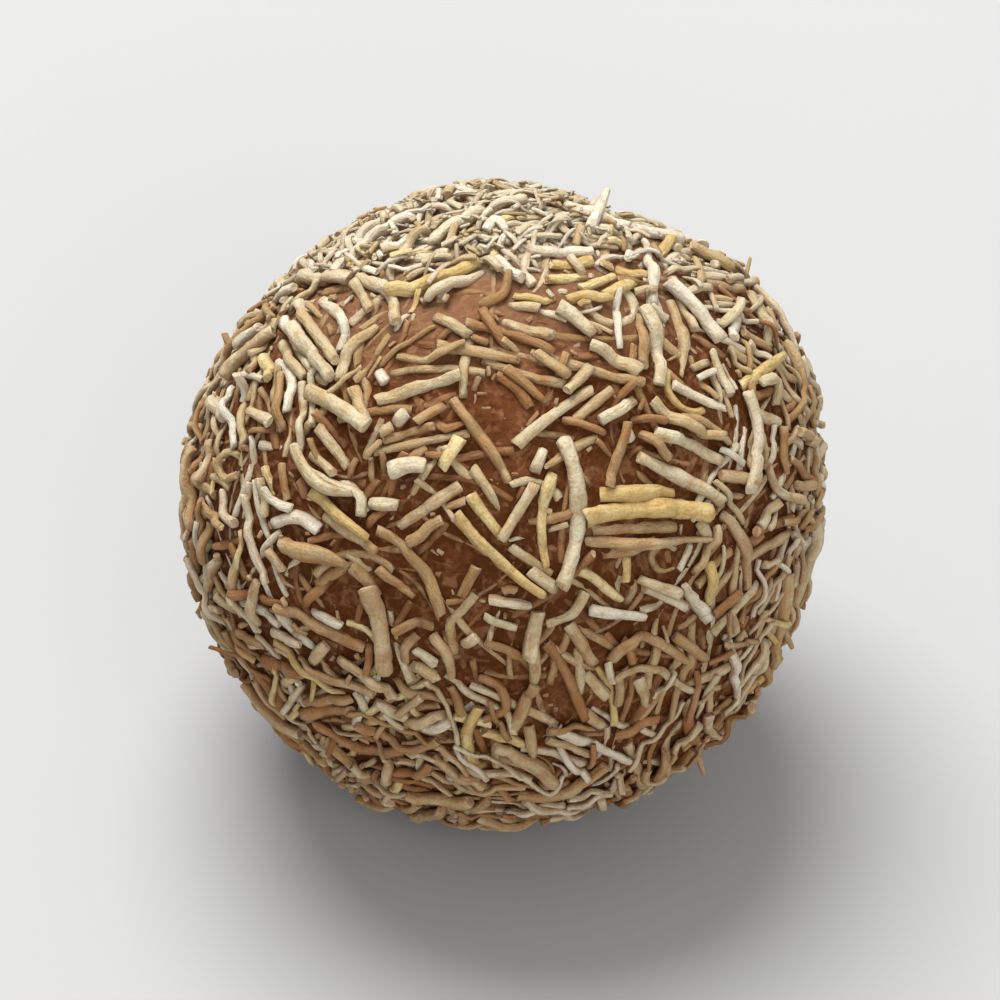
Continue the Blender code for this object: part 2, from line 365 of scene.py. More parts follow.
# the way that most strands lie near a place
grainPlaces = seenWays(grain.values())
grainTurns = [math.radians(turn) for *_, turn in grain.values()]
grainPulls = np.array([(frontRight * math.cos(turn) + frontUp * math.sin(turn))[:] for turn in grainTurns])
wildRng = np.random.default_rng(grainPull["seed"])
wildWaves = wildRng.normal(size=(grainPull["waves"], 3)) * grainPull["waveSize"]
wildPulls = wildRng.normal(size=(grainPull["waves"], 3))
wildTurns = wildRng.uniform(0, math.tau, grainPull["waves"])


def grainAt(centre):
    near = np.exp(-(np.linalg.norm(grainPlaces - centre, axis=1) / grainPull["near"]) ** 2)
    wild = np.sin(wildWaves @ centre + wildTurns) @ wildPulls
    return (near * grainPull["strength"]) @ grainPulls + wild


# paths of strands, as directions from the ball's middle

bends = {                     # turns are in radians, and those of a whole strand are for each mm
    "aligned": 0.55,          # share of the strands that lie with their neighbours
    "unevenness": 0.28,       # how far those still turn away
    "straighter": 0.6,        # share of the strands with the first of these curls
    "curls": (0.05, 0.2),
    "hooked": 0.02,           # share that is bent nearly round, though not on the front
    "hooks": (0.5, 0.95),
    "wave": 0.12,
    "waveRates": (0.6, 1.8),  # radians for each mm
    "sharp": 0.2,             # share with a sharp bend
    "sharpTurns": (0.25, 0.8),
    "phases": (0, 6.3),       # where a wave starts
    "sway": 0.09,             # mm that a larger strand waves to each side
    "swayRates": (3, 8),      # radians for its length
}


def bentPath(rng, centre, length):
    count = max(int(length / coat["step"]), 3)
    runs = np.linspace(-0.5, 0.5, count) * length / mm
    step = runs[1] - runs[0]
    kind = rng.random()
    straight, curly = bends["curls"]
    curl = rng.normal(0, straight if kind < bends["straighter"] else curly)
    if kind > 1 - bends["hooked"] and not onFront(Vector(centre)):
        curl = rng.choice([-1, 1]) * rng.uniform(*bends["hooks"])
    wave = rng.uniform(0, bends["wave"])
    wave = wave * np.sin(runs * rng.uniform(*bends["waveRates"]) + rng.uniform(*bends["phases"]))
    turns = (curl + wave) * step
    if rng.random() < bends["sharp"]:
        turns[rng.integers(1, count - 1)] += rng.choice([-1, 1]) * rng.uniform(*bends["sharpTurns"])
    first = unit(np.cross(centre, unit(rng.normal(size=3))))
    second = np.cross(centre, first)
    heading = rng.uniform(0, math.tau)
    if rng.random() < bends["aligned"]:
        pull = grainAt(centre)
        heading = math.atan2(pull @ second, pull @ first) + rng.normal(0, bends["unevenness"])
    heading = heading + np.cumsum(turns) - turns.sum() / 2
    flat = np.cumsum(np.stack([np.cos(heading), np.sin(heading)], 1) * step * mm, axis=0)
    flat -= flat.mean(0)
    return unit(centre * coreSize + flat[:, :1] * first + flat[:, 1:] * second)


def coursePath(rng, strand):
    count = int(strand.length / coat["step"]) + 2
    path = np.array([way[:] for way in course(strand, count)])
    runs = np.linspace(0, 1, count)
    sway = np.sin(runs * rng.uniform(*bends["swayRates"]) + rng.uniform(*bends["phases"]))
    sway = sway * rng.uniform(0, bends["sway"]) * mm
    return unit(path + sidewaysOf(path) * sway[:, None] / coreSize)


# a smooth curve through places on the front
def pathThrough(places):
    ways = seenWays(places)
    ends = np.concatenate([[2 * ways[0] - ways[1]], ways, [2 * ways[-1] - ways[-2]]])
    parts = []
    for a, b, c, d in zip(ends, ends[1:], ends[2:], ends[3:]):
        count = max(int(np.linalg.norm(c - b) * coreSize / coat["step"]), 2)
        t = np.linspace(0, 1, count, endpoint=False)[:, None]
        parts.append(0.5 * (2 * b + (c - a) * t + (2 * a - 5 * b + 4 * c - d) * t**2
                            + (3 * b - a - 3 * c + d) * t**3))
    return unit(np.concatenate(parts + [ways[-1:]]))


# laying strands down

# smaller strands seen on the front: colour, width in mm, the places they run through
frontBits = {
    "besideFork": ("pale", 0.75, (2.2, 1.8), (2.8, 3.25)),
    "underFork": ("cream", 0.7, (0.7, -3.0), (3.3, -4.9)),
    "leftOfFork": ("tan", 0.7, (-2.5, -6.2), (-1.5, -4.3)),
    "belowFork": ("pale", 0.75, (-0.7, -6.4), (2.0, -6.8)),
    "forkHook": ("cream", 0.75, (5.5, -6.0), (4.6, -7.5), (3.1, -8.1)),
    "lowRightBar": ("pale", 0.75, (5.9, -7.2), (9.4, -7.6)),
    "lowRed": ("tan", 0.6, (-0.9, -9.2), (0.8, -9.9), (2.2, -11.2)),
    "lowMiddleNeck": ("wheat", 0.85, (2.1, -9.8), (2.25, -11.1), (2.15, -12.2)),
    "lowLeftLong": ("cream", 0.8, (-4.4, -8.8), (-3.4, -9.9), (-3.1, -11.6)),
    "lowLeftStub": ("cream", 1.0, (-5.7, -10.9), (-4.2, -11.5)),
    "rightDrop": ("golden", 0.85, (13.4, -4.0), (13.5, -6.8)),
    "rightLow": ("pale", 0.8, (9.4, -5.6), (12.0, -6.9)),
    "bottomGold": ("golden", 0.8, (-2.9, -14.0), (-0.7, -14.7)),
    "goldBit": ("golden", 0.9, (-2.5, 3.9), (-3.6, 2.0)),
    "whiteLump": ("pale", 1.1, (-6.9, 1.8), (-5.7, 2.2), (-4.7, 2.1)),
    "whiteSpeckLow": ("pale", 0.8, (-6.6, 4.9), (-5.9, 5.5)),
    "whiteSpeckHigh": ("cream", 0.7, (-7.4, 4.1), (-6.7, 4.6)),
    "leftHookEnd": ("cream", 0.75, (-11.1, 0.9), (-9.4, 0.7), (-8.7, -0.8)),
    "shoulderHook": ("pale", 0.75, (-11.9, 13.4), (-10.2, 11.6), (-10.5, 9.7)),
    "shoulderSweep": ("cream", 0.8, (-10.3, 7.7), (-9.8, 9.5), (-8.0, 11.3)),
    "shoulderArc": ("cream", 0.85, (-9.3, 14.8), (-7.3, 13.6), (-6.6, 11.3)),
    "shoulderBar": ("pale", 0.8, (-13.5, 13.2), (-11.9, 10.6)),
    "leftSnake": ("cream", 0.75, (-13.0, 7.7), (-12.65, 4.5), (-12.8, 2.4), (-10.5, 1.0),
                  (-8.9, 0.3), (-8.8, -1.0)),
    "leftInner": ("wheat", 0.7, (-12.1, 2.9), (-10.5, 1.7)),
    "leftRing": ("cream", 0.65, (-16.9, 2.8), (-17.7, 3.1), (-18.3, 2.2), (-17.8, 1.4), (-16.9, 1.6)),
    "leftHookLow": ("pale", 0.75, (-18.0, 0.6), (-17.8, -0.8), (-16.9, -1.5)),
    "leftLong": ("pale", 0.8, (-16.2, 0.3), (-16.0, -2.4), (-15.0, -5.4)),
    "leftArch": ("pale", 0.85, (-14.7, -1.5), (-13.0, -1.1), (-11.6, -1.9)),
    "lowLeftBright": ("pale", 0.85, (-14.8, -8.6), (-12.8, -9.3)),
    "lowLeftShort": ("cream", 0.75, (-12.3, -10.6), (-11.4, -9.5)),
    "leftEdge": ("cream", 0.8, (-19.4, -5.8), (-18.0, -3.5)),
    "highBar": ("pale", 0.8, (1.9, 16.1), (6.0, 16.1)),
    "highGoldLeft": ("golden", 0.75, (3.0, 14.2), (5.6, 14.6)),
    "highGoldMiddle": ("golden", 0.8, (5.2, 13.6), (7.4, 14.6)),
    "highGoldRight": ("golden", 0.75, (6.8, 13.3), (8.8, 14.0)),
    "highLeftSlant": ("pale", 0.85, (-4.7, 13.0), (-2.8, 14.0), (-1.2, 15.0)),
    "highMiddle": ("wheat", 0.8, (0.3, 11.5), (3.3, 10.4)),
    "highMiddleUp": ("cream", 0.7, (1.7, 12.6), (4.4, 11.7)),
    "topRightLong": ("wheat", 0.8, (11.0, 12.9), (11.8, 10.4), (11.8, 8.1)),
    "rightVee": ("pale", 0.8, (14.7, 10.2), (15.0, 11.5)),
    "rightGold": ("golden", 0.85, (15.4, 7.3), (17.8, 9.1)),
    "rightTail": ("cream", 0.75, (16.6, 4.4), (17.5, 1.0), (19.1, -0.1)),
    "upperRightBar": ("pale", 0.75, (11.1, 7.4), (14.3, 5.8)),
    "rightShort": ("cream", 0.75, (16.6, -1.7), (17.9, -0.1)),
    "rightFar": ("wheat", 0.75, (16.3, -3.8), (18.6, -2.0)),
    "goldDrop": ("golden", 0.75, (8.3, -3.6), (8.3, -5.4)),
    "rightRing": ("wheat", 0.65, (11.5, -3.3), (10.7, -3.0), (10.0, -3.7), (10.5, -4.6), (11.4, -4.4)),
    "rimLeft": ("pale", 0.9, (-2.2, 20.2), (0.6, 20.4), (3.2, 19.9)),
    "rimMiddle": ("pale", 0.9, (4.3, 19.4), (6.2, 18.4), (8.3, 17.6)),
    "rimRight": ("pale", 0.85, (8.6, 17.5), (11.6, 16.6)),
    "rimFarRight": ("cream", 0.8, (12.2, 16.3), (14.6, 14.6)),
    "rimSpike": ("pale", 0.8, (5.8, 17.4), (6.5, 18.8)),
    "rimLeftLump": ("pale", 1.1, (-13.4, 15.1), (-9.9, 14.6)),
    "rimLeftWhite": ("pale", 0.9, (-17.5, 10.2), (-15.9, 11.4)),
    "rimLeftLow": ("cream", 0.8, (-18.9, 7.4), (-17.9, 9.2)),
    "crownBar": ("pale", 0.9, (-8.0, 16.9), (-5.4, 17.9)),
    "crownSlant": ("pale", 0.85, (-5.6, 16.4), (-3.4, 16.0)),
    "crownKnot": ("pale", 0.7, (-0.9, 17.6), (-0.3, 18.2), (0.5, 17.6)),
    "crownWhite": ("cream", 0.85, (-4.6, 18.7), (-2.0, 19.4)),
    "underCrown": ("pale", 0.8, (-0.3, 15.6), (1.4, 14.2)),
    "goldAbove": ("golden", 0.75, (3.3, 15.3), (6.0, 15.5)),
    "goldBelow": ("golden", 0.8, (4.4, 13.1), (7.2, 12.9)),
    "goldFar": ("golden", 0.75, (7.6, 15.1), (9.4, 14.3)),
    "goldWhite": ("pale", 0.6, (4.5, 15.7), (5.3, 14.6)),
    "highPale": ("cream", 0.75, (0.6, 12.6), (2.5, 12.3)),
    "besideBend": ("wheat", 0.75, (9.1, 11.9), (9.3, 8.7)),
    "besideThick": ("cream", 0.75, (11.0, 14.2), (12.4, 10.8)),
    "topRightGold": ("tan", 0.75, (13.2, 13.9), (15.4, 13.2)),
    "farRightTan": ("tan", 0.7, (15.3, 10.6), (17.0, 9.4)),
    "rightLoop": ("cream", 0.7, (16.2, 7.3), (17.4, 7.5), (17.6, 6.1)),
    "rightAcross": ("cream", 0.75, (16.1, 5.6), (17.8, 4.9)),
    "rightBand": ("cream", 0.9, (10.0, 4.3), (12.4, 3.7), (14.3, 2.4)),
    "rightBandLow": ("cream", 0.8, (14.2, 1.6), (16.8, 1.2)),
    "slantBrown": ("tan", 0.75, (9.2, 4.3), (11.0, 2.7)),
    "aboveComb": ("wheat", 0.75, (2.3, 9.3), (4.3, 7.8)),
    "combTop": ("cream", 0.75, (4.2, 6.9), (5.8, 8.5)),
    "rightOfCombWhite": ("pale", 0.8, (8.2, 4.7), (8.6, 3.9)),
    "besideBars": ("tan", 0.6, (5.3, 1.7), (6.0, 0.9)),
    "aboveMiddle": ("tan", 0.7, (0.4, 8.3), (2.9, 6.3)),
    "aboveMiddleLeft": ("tan", 0.75, (-4.0, 9.9), (-1.0, 9.3), (1.2, 8.9)),
    "forkGold": ("golden", 0.8, (-1.9, 0.3), (0.1, -2.3)),
    "forkBase": ("cream", 0.8, (1.9, -4.5), (3.6, -5.7)),
    "leftPale": ("cream", 0.75, (-8.3, -0.2), (-6.5, -0.3)),
    "leftFaint": ("tan", 0.7, (-5.3, 4.9), (-3.6, 6.1)),
    "whiteSpeckTop": ("pale", 0.8, (-7.8, 8.2), (-7.3, 7.5)),
    "thickEnd": ("cream", 0.9, (-9.5, 7.2), (-8.4, 4.9)),
    "leftInnerLong": ("wheat", 0.75, (-11.5, 4.6), (-9.8, 2.1)),
    "leftSlope": ("tan", 0.75, (-7.8, -4.4), (-5.6, -6.3)),
    "leftArcLow": ("tan", 0.7, (-6.8, -8.5), (-5.6, -8.0), (-4.4, -8.3)),
    "leftLoopLow": ("tan", 0.65, (-5.4, -8.9), (-6.2, -9.6), (-6.2, -10.6)),
    "lowSpeck": ("cream", 0.75, (-2.3, -9.4), (-1.5, -8.7)),
    "lowLeftBend": ("tan", 0.95, (-9.6, -4.3), (-8.6, -5.3), (-8.1, -6.3)),
    "shoulderInner": ("cream", 0.75, (-9.6, 14.3), (-8.4, 12.3)),
    "shoulderLow": ("wheat", 0.75, (-14.6, 10.4), (-12.8, 8.0)),
    "shoulderGold": ("golden", 0.8, (-15.6, 9.4), (-14.8, 7.8)),
    "besideSnake": ("wheat", 0.8, (-14.2, 8.1), (-14.0, 4.5)),
    "leftPink": ("cream", 0.75, (-16.3, 5.8), (-14.4, 4.9)),
    "leftUpright": ("cream", 0.75, (-16.9, 6.2), (-16.5, 3.6)),
    "leftWhite": ("pale", 0.9, (-18.6, 6.4), (-17.9, 5.4)),
    "highSlantLow": ("wheat", 0.7, (-4.2, 11.9), (-2.0, 10.5)),
    "highCurve": ("tan", 0.75, (-1.2, 12.6), (0.1, 13.2), (0.6, 14.5)),
    "highFaint": ("wheat", 0.7, (-6.6, 9.3), (-4.5, 9.1), (-2.2, 9.9)),
    "leftGrey": ("tan", 0.75, (-14.0, 2.3), (-13.7, 0.0)),
    "leftUprightLow": ("wheat", 0.75, (-17.2, -3.4), (-17.0, -6.4)),
    "underLeftBar": ("wheat", 0.7, (-14.8, -3.2), (-14.0, -4.5)),
    "waveTail": ("stained", 0.7, (-17.0, -6.0), (-15.3, -6.4), (-13.9, -6.8)),
    "overWave": ("stained", 0.7, (-12.8, -6.8), (-11.0, -5.2)),
    "farLowLeft": ("tan", 0.75, (-17.2, -8.7), (-15.5, -9.5)),
    "lowLeftBroad": ("stained", 0.9, (-15.7, -10.6), (-13.0, -11.5)),
    "lowLeftPatch": ("cream", 0.7, (-5.6, -9.9), (-4.2, -10.7)),
    "lowLeftSlant": ("wheat", 0.9, (-10.6, -10.5), (-8.6, -11.6), (-6.9, -12.9)),
    "bottomLeft": ("cream", 0.8, (-8.2, -13.3), (-6.2, -14.3)),
    "bottomLeftNext": ("cream", 0.8, (-5.9, -14.6), (-3.7, -14.2)),
    "bottomLeftCross": ("wheat", 0.6, (-6.6, -13.9), (-5.1, -12.7)),
    "bottomDrop": ("tan", 0.7, (-3.3, -12.3), (-2.4, -13.8)),
    "bottomGoldRight": ("golden", 0.75, (-1.0, -14.9), (0.3, -15.8), (1.7, -16.1)),
    "bottomBroad": ("stained", 0.9, (-13.0, -14.1), (-9.8, -14.0)),
    "barsEnd": ("cream", 0.75, (13.0, -1.4), (13.5, -2.6)),
    "underBarLow": ("tan", 0.75, (6.6, -3.6), (8.6, -3.2), (10.2, -2.7)),
    "aboveRightLow": ("cream", 0.7, (9.0, -5.1), (11.4, -6.0)),
    "farRightSlant": ("stained", 0.7, (13.9, -7.4), (15.4, -6.0)),
    "lowRightArc": ("tan", 0.8, (7.3, -10.5), (8.0, -9.3), (9.8, -9.0), (11.8, -10.2)),
    "lowRightNext": ("wheat", 0.7, (11.3, -8.8), (13.3, -10.3)),
    "lowRightPale": ("cream", 0.8, (5.6, -11.4), (6.9, -12.7)),
    "lowRightUpright": ("wheat", 0.8, (8.9, -11.5), (9.6, -13.4)),
    "lowRightUprightNext": ("tan", 0.7, (7.9, -11.3), (7.6, -13.2)),
    "bottomRight": ("cream", 0.8, (5.5, -13.8), (6.8, -14.9)),
    "bottomMiddle": ("wheat", 0.75, (1.9, -15.0), (2.2, -16.7)),
    "bottomFaint": ("stained", 0.7, (7.4, -15.0), (10.2, -14.1)),
    "barsShade": ("tan", 0.85, (6.0, -2.0), (8.6, -1.8), (11.6, -1.7)),
    "goldenLeftNext": ("wheat", 0.85, (-11.3, -0.9), (-9.6, -2.1), (-7.9, -3.3)),
    "edgeNext": ("cream", 0.85, (16.2, 4.4), (16.3, 2.6), (15.9, 0.9)),
    "edgeTop": ("wheat", 0.8, (15.6, 7.4), (16.0, 5.9)),
    "edgeFar": ("tan", 0.75, (17.9, 4.6), (18.3, 1.7)),
    "bandNext": ("wheat", 0.75, (11.8, 5.3), (13.6, 4.9), (14.8, 3.6)),
    "leftFarUpright": ("wheat", 0.75, (-18.9, 3.9), (-19.2, 1.2)),
    "leftFarLow": ("wheat", 0.75, (-18.9, -1.4), (-19.0, -4.0)),
    "leftLowUpright": ("wheat", 0.75, (-15.6, -5.2), (-15.9, -8.0)),
    "leftNextLong": ("cream", 0.7, (-15.3, 1.4), (-15.1, -1.0)),
    "slopeNext": ("cream", 0.75, (-13.0, 12.2), (-10.4, 8.8)),
    "slopeUnder": ("pale", 0.75, (-14.3, 12.0), (-13.1, 10.0)),
}
liftedBits = {"rimSpike": 1.7}  # mm that the end of one stands up
larger = {                    # the larger strands in this coat
    "size": 0.9,              # against the solid's
    "overNamed": 0.1,
    "lifted": 0.1,
    "lifts": (0.2, 0.9),
}

# The layers, with lengths and widths in mm. "crossing" is the share of a strand that may cross
# others, and "overNamed" the share that may cover the named ones. A layer may keep to bare
# paste, or to about so many mm around the crown's middle. "flat" is its thickness against the
# usual, "patchShare" how much of each bare patch it leaves free, and "kind" its one colour.
fineLayers = {
    "under": {"tries": 13000, "lengths": (1.6, 8.0), "widths": (0.42, 0.72),
              "crossing": 0.22, "overNamed": 0.3, "onBarePaste": True},
    "cross": {"tries": 6500, "lengths": (1.8, 7.0), "widths": (0.40, 0.70),
              "crossing": 0.85, "overNamed": 0.07},
    "bits": {"tries": 4500, "lengths": (0.8, 3.2), "widths": (0.36, 0.66),
             "crossing": 0.75, "overNamed": 0.07},
    "crown": {"tries": 4000, "lengths": (0.5, 2.8), "widths": (0.3, 0.6),
              "crossing": 0.97, "overNamed": 0.06, "within": 12, "flat": 0.7},
    "crownCrumbs": {"tries": 9000, "lengths": (0.25, 0.9), "widths": (0.22, 0.46),
                    "crossing": 0.99, "overNamed": 0.06, "within": 11, "flat": 0.8},
    "crumbs": {"tries": 9000, "lengths": (0.2, 0.9), "widths": (0.18, 0.42),
               "crossing": 0.5, "overNamed": 0.1, "patchShare": 0, "kind": "crumb"},
}
buried = {                    # strands sunk in the paste, which show between the others
    "tries": 9000,
    "lengths": (1.0, 6.0),
    "usualLength": 1.5,       # against the shortest
    "widths": (0.42, 0.78),
    "open": 0.36,             # share of one that has to show
    "patchShare": 0.9,
    "sunk": 0.08 * mm,        # their undersides are this much deeper than the other strands'
    "tilt": 0.08,             # mm
}
frontKinds = {"stained": 0.36, "tan": 0.30, "wheat": 0.21, "cream": 0.13}  # between the named ones
kindShares = {                # share of each colour at the very top and at the very bottom: paler at the top and browner at the bottom, painted light from above and shade below
    "pale": (0.36, 0.05),
    "cream": (0.36, 0.24),
    "wheat": (0.15, 0.25),
    "tan": (0.06, 0.20),
    "golden": (0.06, 0.07),
    "stained": (0.01, 0.19),
}
Laid = namedtuple("Laid", "path heights width thick kind tone")


def inTheWay(path, overNamed, patchShare=1):
    gaps = np.linalg.norm(path[:, None] - patchWays[None], axis=2) * coreSize
    return (gaps < patchSizes * patchShare).any() or kept[cellsOf(path)].mean() > overNamed


def lay(rng, path, width, thick, kind, crossing=1, lift=0):
    heights, crossed = settled(path, width, thick)
    top = heights.max() + thick / 2
    if crossing < 1 and (crossed > crossing or top > coat["cap"]):
        return False
    heights = np.minimum(heights, coat["cap"] - thick / 2)
    stamp(path, heights, width, thick)
    runs = np.linspace(0, 1, len(path))
    heights = heights + lift * np.maximum(runs * 2 - 1, 0) ** 2
    laid.append(Laid(path, heights, width, thick, kind, rng.random()))
    return True


def pickFrom(rng, shares):
    chances = np.array(list(shares.values()))
    return str(rng.choice(list(shares), p=chances / chances.sum()))


def pickKind(rng, way):
    # near the crown the paler kinds paint in the light from above
    if way @ crownWay > rng.uniform(*crown["reach"]):
        return pickFrom(rng, crown["kinds"])
    if onFront(Vector(way)):
        return pickFrom(rng, frontKinds)
    # paler towards the top and browner towards the bottom: painted light and shade
    highness = (1 + way[2]) / 2
    shares = {kind: high * highness + low * (1 - highness) for kind, (high, low) in kindShares.items()}
    return pickFrom(rng, shares)


def thickness(rng, width):
    return width * rng.uniform(*coat["thickness"])


# how far one end of a strand stands up, which none does near the very top
def drawnLift(rng, way, facts):
    lift = rng.uniform(*facts["lifts"]) * mm if rng.random() < facts["lifted"] else 0
    return 0 if way @ crownWay > crown["smoothAbove"] else lift


# the longest come first
def drawnLengths(rng, facts, usualLength):
    short, long = facts["lengths"]
    return -np.sort(-rng.triangular(short, short * usualLength, long, facts["tries"]))


def drawnCentre(rng, facts):
    centre = unit(rng.normal(size=3))
    if "within" in facts:
        away = abs(rng.normal(0, crown["gathered"])) * facts["within"] * mm / coreSize
        return unit(crownWay + centre * away)
    wanted = coat["density"] + coat["densityUp"] * centre[2]
    if "onBarePaste" not in facts and onFront(Vector(centre)):
        wanted *= coat["frontDensity"]
    return centre if rng.random() < wanted else None


def report(name, count):
    print(f"{name}: {count} laid, {isTaken(heightMap).mean():.0%} of the ball covered")


def layMany(rng, name):
    facts, count = fineLayers[name], 0
    for length in drawnLengths(rng, facts, coat["usualLength"]):
        centre = drawnCentre(rng, facts)
        if centre is None or "onBarePaste" in facts and not isBare(centre[None])[0]:
            continue
        width = rng.uniform(*facts["widths"]) * mm
        path = bentPath(rng, centre, length * mm)
        if inTheWay(path, facts["overNamed"], facts.get("patchShare", 1)):
            continue
        lift = drawnLift(rng, centre, coat) if length > coat["shortestLifted"] else 0
        kind = facts.get("kind") or pickKind(rng, centre)
        thick = thickness(rng, width) * facts.get("flat", 1)
        count += lay(rng, path, width, thick, kind, facts["crossing"], lift)
    report(name, count)


def layNamed(rng, named):
    for path, width, kind, lift in named:
        lay(rng, path, width, width * rng.uniform(*coat["namedThickness"]), kind, lift=lift)
    report("named", len(named))


def layLarger(rng, strands):
    count = 0
    for strand in strands:
        path, width = coursePath(rng, strand), strand.width * larger["size"]
        centre = np.array(strand.centre)
        lift = drawnLift(rng, centre, larger)
        if not inTheWay(path, larger["overNamed"]):
            count += lay(rng, path, width, thickness(rng, width), pickKind(rng, centre), lift=lift)
    report("larger", count)


# strands that lie in the paste itself and pass under all others
def layBuried(rng):
    count = 0
    for length in drawnLengths(rng, buried, buried["usualLength"]):
        centre = unit(rng.normal(size=3))
        if not isBare(centre[None])[0]:
            continue
        path, width = bentPath(rng, centre, length * mm), rng.uniform(*buried["widths"]) * mm
        if isBare(path).mean() < buried["open"] or inTheWay(path, 1, buried["patchShare"]):
            continue
        thick = thickness(rng, width)
        tilt = rng.uniform(-buried["tilt"], buried["tilt"]) * mm * np.linspace(-1, 1, len(path))
        heights = tilt - coat["sink"] - buried["sunk"] + thick / 2
        stamp(path, heights, width, thick)
        laid.append(Laid(path, heights, width, thick, pickFrom(rng, frontKinds), rng.random()))
        count += 1
    report("buried", count)


def layCoat():
    rng = np.random.default_rng(coat["seed"])
    fronts = {name: frontStrand(*facts[:-1]) for name, facts in frontStrands.items()}
    spreadOut = spreadStrands([way for strand in fronts.values() for way in course(strand)])
    named = [(pathThrough(places), width * mm, kind, liftedBits.get(name, 0) * mm)
             for name, (kind, width, *places) in frontBits.items()]
    named += [(coursePath(rng, strand), strand.width * larger["size"], frontStrands[name][-1], 0)
              for name, strand in fronts.items()]
    for path, width, *_ in named:
        kept[cellsBeside(path, np.linspace(-0.5, 0.5, coat["keptAcross"]) * width)] = True
    layMany(rng, "under")
    layNamed(rng, named)
    layLarger(rng, spreadOut)
    for name in ("cross", "bits", "crown", "crownCrumbs"):
        layMany(rng, name)
    layBuried(rng)
    layMany(rng, "crumbs")


# the meshes of the strands

sweep = {
    "ring": 0.32 * mm,        # between the rings of a strand's mesh
    "bevel": 0.04 * mm,       # the rounded edge of its ends
    "endSize": 0.87,          # of its outermost ring, against the others
    "sides": ((0.45 * mm, 6), (0.85 * mm, 8), (ball["diameter"], 10)),  # corners, under each width
    "waves": ((0.08, 2, 0.9), (0.05, 3, -0.7),  # height, waves round, and radians per mm along
              (0.06, 0, 1.1), (0.03, 0, 3.7)),
    "roughness": 0.03,        # how uneven the corners are besides
    "thinned": 0.35,          # share of the longer strands with one thin end
    "thinnedFrom": 2.5,       # mm
    "thinnedBy": 0.4,
    "creased": 0.4,           # share with a crease along the top
    "creaseSide": 0.4,        # angle from the very top
    "creaseDepth": (0.1, 0.28),  # share of the thickness
    "creaseWidth": 0.45,      # also an angle
    "twist": 0.25,            # angle that a strand leans over
    "twistOn": 0.12,          # and so much more for each mm
    "endSlant": 0.2,          # a broken end isn't quite square
    "endRoughness": 0.04 * mm,
    "endBulge": 0.08,         # mm
    "toneWave": (0.2, 0.9),   # height, and radians for each mm
    "smudgeShadeLevel": 0.5,      # how much paste smear and painted shade on its sides a strand gets at half height
    "smudgeShadeLess": 0.42,      # less at the very top, and as much more at the bottom, so lower strands look darker
    "smudgeShadeSpread": 0.22,
    "smudgeShadeLeast": 0.05,
}


# how much thicker or thinner than usual a strand is at each corner of its rings
def ringSizes(rng, turn, far):
    *phases, tonePhase = rng.uniform(0, math.tau, len(sweep["waves"]) + 1)
    size = 1
    for (height, wavesRound, wavesAlong), phase in zip(sweep["waves"], phases):
        size = size + height * np.sin(wavesRound * turn + wavesAlong * far + phase)
    size = size * rng.normal(1, sweep["roughness"], size.shape)
    if far[-1, 0] > sweep["thinnedFrom"] and rng.random() < sweep["thinned"]:
        size = size * (1 - sweep["thinnedBy"] * np.clip(far / far[-1] * 2 - 1, 0, 1) ** 2)
    if rng.random() < sweep["creased"]:
        side = turn - math.pi / 2 - rng.normal(0, sweep["creaseSide"])
        depth = rng.uniform(*sweep["creaseDepth"])
        size = size * (1 - depth * np.exp(-((side / sweep["creaseWidth"]) ** 2)))
    size[[0, -1]] *= sweep["endSize"]
    return size, tonePhase


def sweptStrand(rng, strand, sides):
    steps = np.linalg.norm(np.diff(strand.path, axis=0), axis=1) * coreSize
    run = np.concatenate([[0], np.cumsum(steps)])
    length, bevel = run[-1], sweep["bevel"]
    inner = np.linspace(bevel, length - bevel, max(int(length / sweep["ring"]), 3))
    at = np.concatenate([[0], inner, [length]])
    far = at[:, None] / mm
    ways = unit(np.stack([np.interp(at, run, strand.path[:, axis]) for axis in range(3)], 1))
    places = ways * (pasteReach(ways) + np.interp(at, run, strand.heights))[:, None]
    along = unit(np.gradient(places, axis=0))
    sideways = unit(np.cross(along, ways))
    upward = np.cross(sideways, along)
    turn = np.arange(sides) / sides * math.tau - math.pi / 2
    size, tonePhase = ringSizes(rng, turn, far)
    twist = rng.normal(0, sweep["twist"]) + rng.normal(0, sweep["twistOn"]) * far
    cos, sin = np.cos(twist), np.sin(twist)
    across, up = np.cos(turn) * size * strand.width / 2, np.sin(turn) * size * strand.thick / 2
    across, up = across * cos - up * sin, across * sin + up * cos
    verts = places[:, None] + across[..., None] * sideways[:, None] + up[..., None] * upward[:, None]
    bothEnds = ((0, -1), (-1, 1))
    for end, sign in bothEnds:
        slant = np.sin(turn + rng.uniform(0, math.tau)) * sweep["endSlant"] * strand.width * rng.random()
        slant = slant + rng.uniform(-1, 1, sides) * sweep["endRoughness"]
        verts[end] += sign * along[end] * slant[:, None]
    bulge = sweep["endBulge"]
    caps = [verts[end].mean(0) + sign * along[end] * rng.uniform(-bulge, bulge) * mm
            for end, sign in bothEnds]
    waveHeight, waveRate = sweep["toneWave"]
    tones = strand.tone + waveHeight * np.sin(waveRate * at / mm + tonePhase)
    # one amount for both paste smears and painted shade on the sides, more on lower strands
    smudgeShadeAmount = sweep["smudgeShadeLevel"] - sweep["smudgeShadeLess"] * ways[:, 2].mean()
    smudgeShadeAmount = np.clip(smudgeShadeAmount + rng.normal(0, sweep["smudgeShadeSpread"]), sweep["smudgeShadeLeast"], 1)
    return at, verts, caps, tones, smudgeShadeAmount, up / strand.thick * 2


def strandFaces(rings, sides):
    first = np.arange(sides)
    after = (first + 1) % sides
    low = np.arange(rings - 1)[:, None] * sides
    quads = np.stack([low + after, low + first, low + sides + first, low + sides + after], -1)
    last, cap = (rings - 1) * sides, np.full(sides, rings * sides)
    ends = [np.stack([first, after, cap], 1), np.stack([last + after, last + first, cap + 1], 1)]
    return quads.reshape(-1, 4), np.concatenate(ends)


